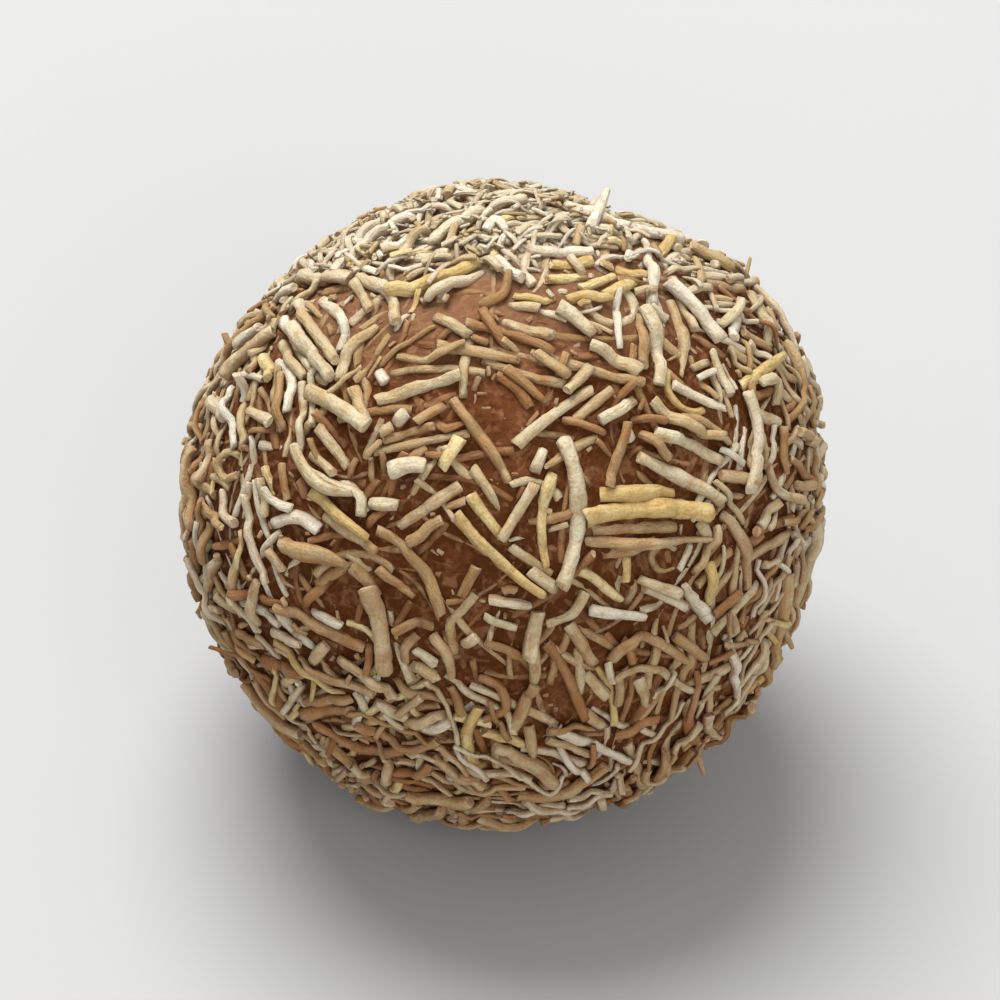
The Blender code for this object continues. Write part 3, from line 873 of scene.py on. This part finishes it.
# places in the textures
atlas = {
    "margin": 0.05,           # round a strand, as a share of its cell
    "apart": 37.0,            # mm between strands, so that no two look the same
    "point": 3,               # how far off the point of an end is, in rounded edges
}


# texture places of one strand's corners: how far along it and how far round
def strandPlaces(at, sides):
    edge = np.arange(sides + 1) / sides
    low, high = at[:-1, None] + 0 * edge[:-1], at[1:, None] + 0 * edge[:-1]
    near, far = 0 * low + edge[:-1], 0 * low + edge[1:]
    quads = np.stack([low, far, low, near, high, near, high, far], -1).reshape(-1, 2)
    pad, half, flat = atlas["point"] * sweep["bevel"], (edge[1:] + edge[:-1]) / 2, 0 * edge[1:]
    start = np.stack([flat, edge[:-1], flat, edge[1:], flat - pad, half], 1).reshape(-1, 2)
    end = np.stack([flat, edge[1:], flat, edge[:-1], flat + pad, half], 1).reshape(-1, 2)
    return np.concatenate([quads, start, end + [at[-1], 0]])


def addMesh(name, verts, faces):
    mesh = bpy.data.meshes.new(name)
    mesh.from_pydata(verts.tolist(), [], faces)
    mesh.shade_smooth()
    thing = bpy.data.objects.new(name, mesh)
    bpy.context.scene.collection.objects.link(thing)
    return thing


def addNumbers(thing, **numbers):
    for name, values in numbers.items():
        layer = thing.data.attributes.new(name, "FLOAT", "POINT")
        layer.data.foreach_set("value", np.asarray(values, np.float32))


def addMaps(thing, **maps):
    for name, places in maps.items():
        layer = thing.data.uv_layers.new(name=name)
        layer.uv.foreach_set("vector", np.asarray(places, np.float32).ravel())
    thing.data.uv_layers.active_index = 0


def strandPiece(name, strands, seed):
    rng = np.random.default_rng(seed)
    numbers = {"tone": [], "smudgeShadeAmount": [], "upness": [], "endness": []}
    maps = {"OFBake": [], "alongStrand": []}
    allVerts, faces, smooth, start = [], [], [], 0
    columns = math.ceil(math.sqrt(len(strands) / 2))
    rows = math.ceil(len(strands) / columns)
    for index, strand in enumerate(strands):
        sides = next(sides for width, sides in sweep["sides"] if strand.width < width)
        at, verts, caps, tones, smudgeShadeAmount, up = sweptStrand(rng, strand, sides)
        allVerts += [verts.reshape(-1, 3), np.array(caps)]
        quads, tips = strandFaces(len(at), sides)
        faces += (quads + start).tolist() + (tips + start).tolist()
        smooth += [True] * len(quads) + [False] * len(tips)
        endness = np.zeros(len(at) * sides + 2)
        endness[:sides] = endness[-sides - 2:] = 1
        numbers["tone"].append(np.concatenate([np.repeat(tones, sides), tones[[0, -1]]]))
        numbers["smudgeShadeAmount"].append(np.full(len(endness), smudgeShadeAmount))
        numbers["upness"].append(np.concatenate([up.ravel(), [0, 0]]))
        numbers["endness"].append(endness)
        start += len(endness)
        places = strandPlaces(at, sides)
        low, high = places[:, 0].min(), places[:, 0].max()
        inside = np.stack([(places[:, 0] - low) / (high - low), places[:, 1]], 1)
        inside = inside * (1 - 2 * atlas["margin"]) + atlas["margin"]
        cell = np.array([index % columns, index // columns])
        maps["OFBake"].append((cell + inside) / [columns, rows])
        maps["alongStrand"].append(places / [mm, 1] + [atlas["apart"] * index, 0])
    verts = np.concatenate(allVerts)
    overPaste = np.linalg.norm(verts, axis=1) - pasteReach(unit(verts))
    verts = verts + np.array(middle)
    verts[:, 2] = np.maximum(verts[:, 2], 0)
    piece = addMesh(name, verts, faces)
    piece.data.polygons.foreach_set("use_smooth", smooth)
    addNumbers(piece, **{name: np.concatenate(values) for name, values in numbers.items()})
    addNumbers(piece, overPaste=overPaste / mm)
    addMaps(piece, **{name: np.concatenate(places) for name, places in maps.items()})
    return piece


# the mesh of the paste: a grid on each side of a cube, blown up to the ball's round

pasteMesh = {
    "grid": 125,
    "seed": 3,
    "rise": 0.17 * mm,        # how far it is squeezed up beside strands
    "rings": ((0.22, 0), (0.42, 0.5)),  # mm round a place where strands are looked for, and turn
    "looks": 6,               # on each ring
    "across": (0.31, 0.82, 0.48),  # the rings start square to this, which may be any direction
    "swell": (9, 3, 0.08 * mm),  # how close its waves are, octaves and height
    "pits": (26, 2, 0.16 * mm, 0.3),  # cut off at the last number, so that only hollows are deep
    "pitsLessNear": 0.5,      # shallower by this share beside strands
    "grain": (90, 2, 0.08 * mm),
    "waves": 5,               # for each octave
    "waveSpread": (0.7, 1.3),
    "margin": 0.01,           # round each side of the cube in the texture
}


def unevenness(rng, ways, scale, octaves, height, top=math.inf):
    total = np.zeros(len(ways))
    for octave in range(octaves):
        for _ in range(pasteMesh["waves"]):
            wave = unit(rng.normal(size=3)) * scale * 2**octave * rng.uniform(*pasteMesh["waveSpread"])
            total += np.sin(ways @ wave + rng.uniform(0, math.tau)) / 2**octave
    return np.minimum(total / pasteMesh["waves"], top) * height


def cubeGrid(grid):
    line = np.tan(np.linspace(-1, 1, grid + 1) * math.pi / 4)
    us, vs = [part.ravel() for part in np.meshgrid(line, line, indexing="ij")]
    i, j = [part.ravel() for part in np.meshgrid(np.arange(grid), np.arange(grid), indexing="ij")]
    low, high = i * (grid + 1) + j, (i + 1) * (grid + 1) + j
    quad = np.stack([low, high, high + 1, low + 1], 1)
    flat = np.stack([quad // (grid + 1), quad % (grid + 1)], -1) / grid
    flat = flat * (1 - 2 * pasteMesh["margin"]) + pasteMesh["margin"]
    corners, quads, places = [], [], []
    for face in range(6):
        axis, sign = face // 2, 1 - 2 * (face % 2)
        ways = np.empty((len(us), 3))
        ways[:, axis] = sign
        ways[:, otherAxes[axis][0]] = us * sign
        ways[:, otherAxes[axis][1]] = vs
        corners.append(unit(ways))
        quads.append(quad + face * len(us))
        places.append((flat + [face % 3, face // 3]) / [3, 2])
    ways, quads = np.concatenate(corners), np.concatenate(quads)
    _, first, index = np.unique(np.round(ways, 6), axis=0, return_index=True, return_inverse=True)
    return ways[first], index.ravel()[quads], np.concatenate(places).reshape(-1, 2)


# share of the places round each corner where a strand lies
def strandsNear(ways):
    near = np.zeros(len(ways))
    first = unit(np.cross(ways, pasteMesh["across"]))
    second = np.cross(ways, first)
    looks, rings = pasteMesh["looks"], pasteMesh["rings"]
    for ring, turn in rings:
        for angle in [(turn + look) * math.tau / looks for look in range(looks)]:
            offset = first * math.cos(angle) + second * math.sin(angle)
            seen = heightMap[cellsOf(unit(ways + offset * ring * mm / coreSize))]
            near += isTaken(seen) / (looks * len(rings))
    return near


def pastePiece():
    rng = np.random.default_rng(pasteMesh["seed"])
    ways, quads, places = cubeGrid(pasteMesh["grid"])
    near = strandsNear(ways)
    rise = near * pasteMesh["rise"] + unevenness(rng, ways, *pasteMesh["swell"])
    rise += unevenness(rng, ways, *pasteMesh["pits"]) * (1 - pasteMesh["pitsLessNear"] * near)
    rise += unevenness(rng, ways, *pasteMesh["grain"])
    corners = ways * (pasteReach(ways) + rise)[:, None] + np.array(middle)
    corners[:, 2] = np.maximum(corners[:, 2], ball["flatLift"] / 2)
    piece = addMesh("chocolatePaste", corners, quads.tolist())
    # painted light: the paste turns lighter towards the crown, where the overhead light falls
    (dustyFrom, dustyOver), (dryFrom, dryOver) = crown["dusty"], crown["dry"]
    nearness = ways @ crownWay
    # crushed pastry on the paste near the crown, partly painted light of the lit top
    addNumbers(piece, near=near, dusty=np.clip((nearness - dustyFrom) / dustyOver, 0, 1),
               dry=np.clip((nearness - dryFrom) / dryOver, 0, 1))
    addMaps(piece, OFBake=places)
    return piece


# shader nodes: a socket of another node is linked, and anything else is set

def connect(tree, values, sockets):
    for key, value in values.items():
        if isinstance(value, bpy.types.NodeSocket):
            tree.links.new(value, sockets[key])
        else:
            sockets[key].default_value = value


def node(tree, kind, values, **settings):
    made = tree.nodes.new(kind)
    for key, value in settings.items():
        setattr(made, key, value)
    connect(tree, values, made.inputs)
    return made.outputs


# a mix node's sockets for colours are found by number
def mixColour(tree, factor, first, second, blend="MIX"):
    return node(tree, "ShaderNodeMix", {0: factor, 6: first, 7: second},
                data_type="RGBA", blend_type=blend)[2]


def mathNode(tree, operation, *values, clamp=False):
    return node(tree, "ShaderNodeMath", dict(enumerate(values)), operation=operation, use_clamp=clamp)[0]


def times(tree, first, second):
    return mathNode(tree, "MULTIPLY", first, second)


def plus(tree, first, second):
    return mathNode(tree, "ADD", first, second)


def ranged(tree, value, low, high, toLow=0.0, toHigh=1.0):
    ends = {"Value": value, "From Min": low, "From Max": high, "To Min": toLow, "To Max": toHigh}
    return node(tree, "ShaderNodeMapRange", ends, interpolation_type="SMOOTHSTEP")["Result"]


def noise(tree, place, scale, detail, distortion=0.0):
    return node(tree, "ShaderNodeTexNoise", {"Vector": place, "Scale": scale, "Detail": detail,
                                             "Distortion": distortion})["Fac"]


def combined(tree, x, y):
    return node(tree, "ShaderNodeCombineXYZ", {"X": x, "Y": y})[0]


def attribute(tree, name):
    return node(tree, "ShaderNodeAttribute", {}, attribute_name=name)["Fac"]


def groupNode(tree, name, values):
    return node(tree, "ShaderNodeGroup", values, node_tree=groups[name])


def newGroup(name, inputs, outputs):
    group = bpy.data.node_groups.new(name, "ShaderNodeTree")
    for label, kind, *value in inputs:
        socket = group.interface.new_socket(label, in_out="INPUT", socket_type="NodeSocket" + kind)
        if value:
            socket.default_value = value[0]
    for label, kind in outputs:
        group.interface.new_socket(label, in_out="OUTPUT", socket_type="NodeSocket" + kind)
    return group, group.nodes.new("NodeGroupInput").outputs, group.nodes.new("NodeGroupOutput").inputs


# long thin streaks, blisters and pits along a strand
grainLook = {                 # scale and detail of each noise
    "streaks": (1.0, 3.0),
    "patches": (0.7, 4.0),
    "pits": (5.5, 3.0),
    "toast": (1.7, 4.0),
    "patchesRound": 2.6,      # how much finer patches, pits and toast are round a strand than along
    "toastRange": (0.47, 0.68),
    "pitsRange": (0.36, 0.56),
    "pitsHeight": 0.6,        # against the streaks'
}


def pastryGrainGroup():
    group, given, result = newGroup(
        "pastryGrain",
        [("Place", "Vector"), ("Streaks Along", "Float", 0.9), ("Streaks Round", "Float", 9.0)],
        [(label, "Float") for label in ("Streaks", "Patches", "Toast", "Pits", "Height")])
    split = node(group, "ShaderNodeSeparateXYZ", {"Vector": given["Place"]})
    far, turn = split["X"], split["Y"]
    thin = combined(group, times(group, far, given["Streaks Along"]),
                    times(group, turn, given["Streaks Round"]))
    wide = combined(group, far, times(group, turn, grainLook["patchesRound"]))
    streaks = noise(group, thin, *grainLook["streaks"])
    pits = noise(group, wide, *grainLook["pits"])
    connect(group, {
        "Streaks": streaks,
        "Patches": noise(group, wide, *grainLook["patches"]),
        "Toast": ranged(group, noise(group, wide, *grainLook["toast"]), *grainLook["toastRange"]),
        "Pits": ranged(group, pits, *grainLook["pitsRange"]),
        "Height": plus(group, streaks, times(group, pits, grainLook["pitsHeight"])),
    }, result)
    return group


# where a strand is sunk in paste, with painted contact shade just above it, and where it is smudged: real
# paste in some blotches, and painted shade on its sides
smudgeAndShadeLook = {
    "wobble": 1.1,            # mm that patches move the paste's edge up and down
    "sunkAndShadeEdge": (-0.18, 0.16, 1.0, 0.0),   # mm over the paste, and how sunk it looks there, with painted contact shade just above the paste
    "shadedSideEdge": (0.1, 0.95, 1.0, 0.0),     # upness, and how much painted shade its sides get there
    "smudgeShadeRange": (0.0, 0.8, 0.14, 1.0),
    "blotchMore": 0.16,       # more with the strand's smear amount
    "blotchRange": (0.52, 0.68),
}


def pasteSmudgeAndShadeGroup():
    group, given, result = newGroup(
        "pasteSmudgeAndShade",
        [("Over Paste", "Float", 1.0), ("Upness", "Float", 1.0), ("Patches", "Float", 0.5),
         ("Smeared", "Float", 0.5), ("Level", "Float", 0.25), ("Sides", "Float", 0.6),
         ("Blotches", "Float", 0.0)],
        [("Sunk And Contact Shade", "Float"), ("Smudge And Side Shade", "Float")])
    wobble = times(group, mathNode(group, "SUBTRACT", given["Patches"], 0.5), smudgeAndShadeLook["wobble"])
    above = mathNode(group, "SUBTRACT", plus(group, given["Over Paste"], wobble), given["Level"])
    # painted shade: the sides of a strand, away from its top, get darker
    side = ranged(group, plus(group, given["Upness"], wobble), *smudgeAndShadeLook["shadedSideEdge"])
    smudgeShadeAmount = ranged(group, given["Smeared"], *smudgeAndShadeLook["smudgeShadeRange"])
    side = times(group, times(group, side, given["Sides"]), smudgeShadeAmount)
    amount = plus(group, given["Patches"], times(group, given["Smeared"], smudgeAndShadeLook["blotchMore"]))
    blotch = times(group, ranged(group, amount, *smudgeAndShadeLook["blotchRange"]), given["Blotches"])
    connect(group, {
        "Sunk And Contact Shade": ranged(group, above, *smudgeAndShadeLook["sunkAndShadeEdge"]),
        "Smudge And Side Shade": mathNode(group, "MAXIMUM", side, blotch, clamp=True),
    }, result)
    return group


# the paste's own brown, with paler fat bloom and crushed nut, and painted shade beside strands
brownLook = {                 # scale, detail and any distortion of each noise
    "broad": (260.0, 4.0),
    "fine": (2300.0, 4.0),
    "bloom": (900.0, 5.0, 1.5),
    "broadShare": 0.55,
    "fineShare": 0.45,
    "paintedShadeNear": 0.14,       # painted shade beside strands
    "shadeRange": (0.36, 0.62),
    "bloomRange": (0.48, 0.68),
}


def pasteColourGroup():
    group, given, result = newGroup(
        "pasteColour",
        [("Place", "Vector"), ("Dark", "Color", (0.1, 0.04, 0.02, 1)),
         ("Light", "Color", (0.2, 0.09, 0.05, 1)), ("Bloom", "Float", 0.0),
         ("Bloom Colour", "Color", (0.3, 0.15, 0.08, 1)), ("Nearness", "Float", 0.0)],
        [("Color", "Color"), ("Height", "Float")])
    broad, fine, bloom = [noise(group, given["Place"], *brownLook[name])
                          for name in ("broad", "fine", "bloom")]
    factor = plus(group, times(group, broad, brownLook["broadShare"]),
                  times(group, fine, brownLook["fineShare"]))
    # painted shade: the paste darkens beside strands
    shade = mathNode(group, "SUBTRACT", factor, times(group, given["Nearness"], brownLook["paintedShadeNear"]))
    colour = mixColour(group, ranged(group, shade, *brownLook["shadeRange"]), given["Dark"], given["Light"])
    blooms = times(group, ranged(group, bloom, *brownLook["bloomRange"]), given["Bloom"])
    colour = mixColour(group, blooms, colour, given["Bloom Colour"])
    connect(group, {"Color": colour, "Height": factor}, result)
    return group


# materials

def newMaterial(name):
    material = bpy.data.materials.new(name)
    material.use_nodes = True
    return material, material.node_tree


def finish(tree, surface):
    connect(tree, surface, tree.nodes["Principled BSDF"].inputs)


def bumped(tree, height, distance):
    return node(tree, "ShaderNodeBump", {"Height": height, "Strength": 1.0, "Distance": distance})["Normal"]


pastry = {                    # palest, deepest, toasted, how far paste and painted contact shade climb it (mm), painted shade on its sides, blotches
    "pale": {"pale": (0.58, 0.54, 0.435, 1), "deep": (0.48, 0.40, 0.265, 1), "toast": 0.35,
             "level": 0.08, "sides": 0.7, "blotches": 0.2},
    "cream": {"pale": (0.51, 0.455, 0.315, 1), "deep": (0.39, 0.285, 0.145, 1), "toast": 0.5,
              "level": 0.12, "sides": 0.75, "blotches": 0.3},
    "wheat": {"pale": (0.44, 0.36, 0.22, 1), "deep": (0.32, 0.21, 0.098, 1), "toast": 0.5,
              "level": 0.15, "sides": 0.8, "blotches": 0.4},
    "tan": {"pale": (0.365, 0.255, 0.135, 1), "deep": (0.25, 0.143, 0.059, 1), "toast": 0.4,
            "level": 0.2, "sides": 0.85, "blotches": 0.5},
    "golden": {"pale": (0.56, 0.47, 0.245, 1), "deep": (0.45, 0.315, 0.12, 1), "toast": 0.6,
               "level": 0.1, "sides": 0.7, "blotches": 0.15},
    "stained": {"pale": (0.33, 0.185, 0.086, 1), "deep": (0.21, 0.099, 0.038, 1), "toast": 0.2,
                "level": 0.28, "sides": 0.8, "blotches": 0.6},
    "crumb": {"pale": (0.42, 0.30, 0.175, 1), "deep": (0.24, 0.12, 0.050, 1), "toast": 0.3,
              "level": 0.04, "sides": 0.7, "blotches": 0.3},
}
allPastry = {                 # what all of these share
    "streaksAlong": 0.9, "streaksRound": 9.0,
    "streaky": 0.8, "patchy": 0.6, "toned": 0.7,  # what makes a place deep in colour
    "depthRange": (0.6, 1.45),
    # painted shade in the pits of the bump
    "pitShade": 0.14,
    "endsPaler": 0.3, "endColour": (0.72, 0.60, 0.42, 1),
    "toastColour": (0.36, 0.20, 0.058, 1),
    # brown of real paste smears and of the painted shade on strand sides
    "smudgeAndShadeColour": (0.24, 0.096, 0.030, 1),
    "sunk": 0.8,              # how brown a sunk strand and its painted contact shade get
    "bump": 0.15 * mm,
    "roughness": (0.3, 0.7, 0.58, 0.78),  # streaks, and the roughness they give
    "specular": 0.15,
}
paste = {
    "dark": (0.066, 0.019, 0.004, 1), "light": (0.118, 0.039, 0.012, 1),
    "bloom": 0.5, "bloomColour": (0.235, 0.112, 0.052, 1),
    "dry": 0.4, "dryColour": (0.30, 0.160, 0.086, 1),  # painted light on the very top
    "dust": 0.85, "powderAndTopLightColour": (0.60, 0.50, 0.35, 1),  # crushed pastry there, which is also painted light
    "powderAndTopLightNoise": (1400.0, 4.0), "powderAndTopLightRange": (0.35, 0.6),
    "bump": 0.5 * mm,
    "roughness": 0.75,
    "specular": 0.06,
}


def pastryMaterial(kind, looks):
    material, tree = newMaterial(f"{kind}Pastry")
    shared = allPastry
    along = node(tree, "ShaderNodeUVMap", {}, uv_map="alongStrand")["UV"]
    fibre = groupNode(tree, "pastryGrain", {
        "Place": along, "Streaks Along": shared["streaksAlong"], "Streaks Round": shared["streaksRound"]})
    depth = plus(tree, times(tree, fibre["Streaks"], shared["streaky"]),
                 times(tree, fibre["Patches"], shared["patchy"]))
    depth = plus(tree, depth, times(tree, attribute(tree, "tone"), shared["toned"]))
    colour = mixColour(tree, ranged(tree, depth, *shared["depthRange"]), looks["pale"], looks["deep"])
    colour = mixColour(tree, times(tree, fibre["Toast"], looks["toast"]), colour, shared["toastColour"])
    # painted shade: the colour darkens where the bump sinks into pits
    pitted = mathNode(tree, "MULTIPLY_ADD", fibre["Pits"], shared["pitShade"], 1 - shared["pitShade"])
    colour = mixColour(tree, 1.0, colour, pitted, "MULTIPLY")
    broken = times(tree, attribute(tree, "endness"), shared["endsPaler"])
    colour = mixColour(tree, broken, colour, shared["endColour"])
    place = node(tree, "ShaderNodeTexCoord", {})["Object"]
    brown = groupNode(tree, "pasteColour", {"Place": place, "Dark": paste["dark"], "Light": paste["light"]})
    smudgeAndShadeMasks = groupNode(tree, "pasteSmudgeAndShade", {
        "Over Paste": attribute(tree, "overPaste"), "Upness": attribute(tree, "upness"),
        "Patches": fibre["Patches"], "Smeared": attribute(tree, "smudgeShadeAmount"), "Level": looks["level"],
        "Sides": looks["sides"], "Blotches": looks["blotches"]})
    # painted shade on the strand's sides, with real paste smears in blotches
    colour = mixColour(tree, smudgeAndShadeMasks["Smudge And Side Shade"], colour, shared["smudgeAndShadeColour"])
    # paste brown where a strand is sunk, and painted contact shade just above the paste
    colour = mixColour(tree, times(tree, smudgeAndShadeMasks["Sunk And Contact Shade"], shared["sunk"]), colour, brown["Color"])
    finish(tree, {
        "Base Color": colour,
        "Roughness": ranged(tree, fibre["Streaks"], *shared["roughness"]),
        "Specular IOR Level": shared["specular"],
        "Normal": bumped(tree, fibre["Height"], shared["bump"]),
    })
    return material


def pasteMaterial():
    material, tree = newMaterial("chocolatePaste")
    place = node(tree, "ShaderNodeTexCoord", {})["Object"]
    # with painted shade beside strands, by Nearness
    brown = groupNode(tree, "pasteColour", {
        "Place": place, "Dark": paste["dark"], "Light": paste["light"], "Bloom": paste["bloom"],
        "Bloom Colour": paste["bloomColour"], "Nearness": attribute(tree, "near")})
    # painted light: lighter paste on the top of the ball
    dry = times(tree, attribute(tree, "dry"), paste["dry"])
    # crushed pastry on the top paste, partly painted light
    dust = ranged(tree, noise(tree, place, *paste["powderAndTopLightNoise"]), *paste["powderAndTopLightRange"])
    dust = times(tree, times(tree, dust, attribute(tree, "dusty")), paste["dust"])
    colour = mixColour(tree, dry, brown["Color"], paste["dryColour"])
    colour = mixColour(tree, dust, colour, paste["powderAndTopLightColour"])
    finish(tree, {
        "Base Color": colour,
        "Roughness": paste["roughness"],
        "Specular IOR Level": paste["specular"],
        "Normal": bumped(tree, brown["Height"], paste["bump"]),
    })
    return material


# stage, light and camera

studio = {
    "floorSize": 3.0,
    "floorColour": (0.345, 0.345, 0.341, 1),
    "floorRoughness": 0.8,
    "worldColour": (1.0, 1.0, 1.0, 1),
    "worldStrength": 0.61,
    "lights": {               # place, size and power
        "overhead": ((-0.10, 0.24, 0.58), 0.46, 7.1),
        "frontFill": ((0.20, -0.60, 0.32), 0.6, 2.7),
    },
}
camera = {"distance": 0.75, "fill": 0.66, "sensor": 36.0, "nearest": 0.01}


def addStage():
    half = studio["floorSize"] / 2
    corners = np.array([(-half, -half, 0), (half, -half, 0), (half, half, 0), (-half, half, 0)])
    floor = addMesh("floor", corners, [(0, 1, 2, 3)])
    material, tree = newMaterial("paleFloor")
    finish(tree, {"Base Color": studio["floorColour"], "Roughness": studio["floorRoughness"]})
    floor.data.materials.append(material)
    for name, (place, size, power) in studio["lights"].items():
        light = bpy.data.lights.new(name, "AREA")
        light.shape, light.size, light.energy = "DISK", size, power
        lamp = bpy.data.objects.new(name, light)
        lamp.location = place
        lamp.rotation_euler = (middle - Vector(place)).to_track_quat("-Z", "Y").to_euler()
        bpy.context.scene.collection.objects.link(lamp)
    world = bpy.data.worlds.new("studio")
    world.use_nodes = True
    sky = {"Color": studio["worldColour"], "Strength": studio["worldStrength"]}
    connect(world.node_tree, sky, world.node_tree.nodes["Background"].inputs)
    bpy.context.scene.world = world
    print(f"stage: a floor and {len(studio['lights'])} lights")


def addCamera():
    lens = bpy.data.cameras.new("camera")
    lens.sensor_width = camera["sensor"]
    lens.lens = camera["sensor"] * camera["distance"] / (ball["diameter"] / camera["fill"])
    lens.clip_start = camera["nearest"]
    eye = bpy.data.objects.new("camera", lens)
    eye.location = middle + towardsFront * camera["distance"]
    eye.rotation_euler = (math.pi / 2 - front["elevation"], 0, 0)
    bpy.context.scene.collection.objects.link(eye)
    bpy.context.scene.camera = eye
    bpy.context.scene.view_settings.view_transform = "Standard"
    print(f"camera: {lens.lens:.0f} mm lens")


groups = {
    "pastryGrain": pastryGrainGroup(),
    "pasteSmudgeAndShade": pasteSmudgeAndShadeGroup(),
    "pasteColour": pasteColourGroup(),
}
layCoat()
pieces = [pastePiece()]
pieces[0].data.materials.append(pasteMaterial())
for number, (kind, looks) in enumerate(pastry.items()):
    strands = [strand for strand in laid if strand.kind == kind]
    piece = strandPiece("crumbs" if kind == "crumb" else f"{kind}Strands", strands, number)
    piece.data.materials.append(pastryMaterial(kind, looks))
    pieces.append(piece)
for piece in pieces:
    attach(piece, "root")
    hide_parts("kunafa_ball")
    triangles = sum(len(face.vertices) - 2 for face in piece.data.polygons)
    print(f"{piece.name}: {triangles} triangles")
addStage()
addCamera()
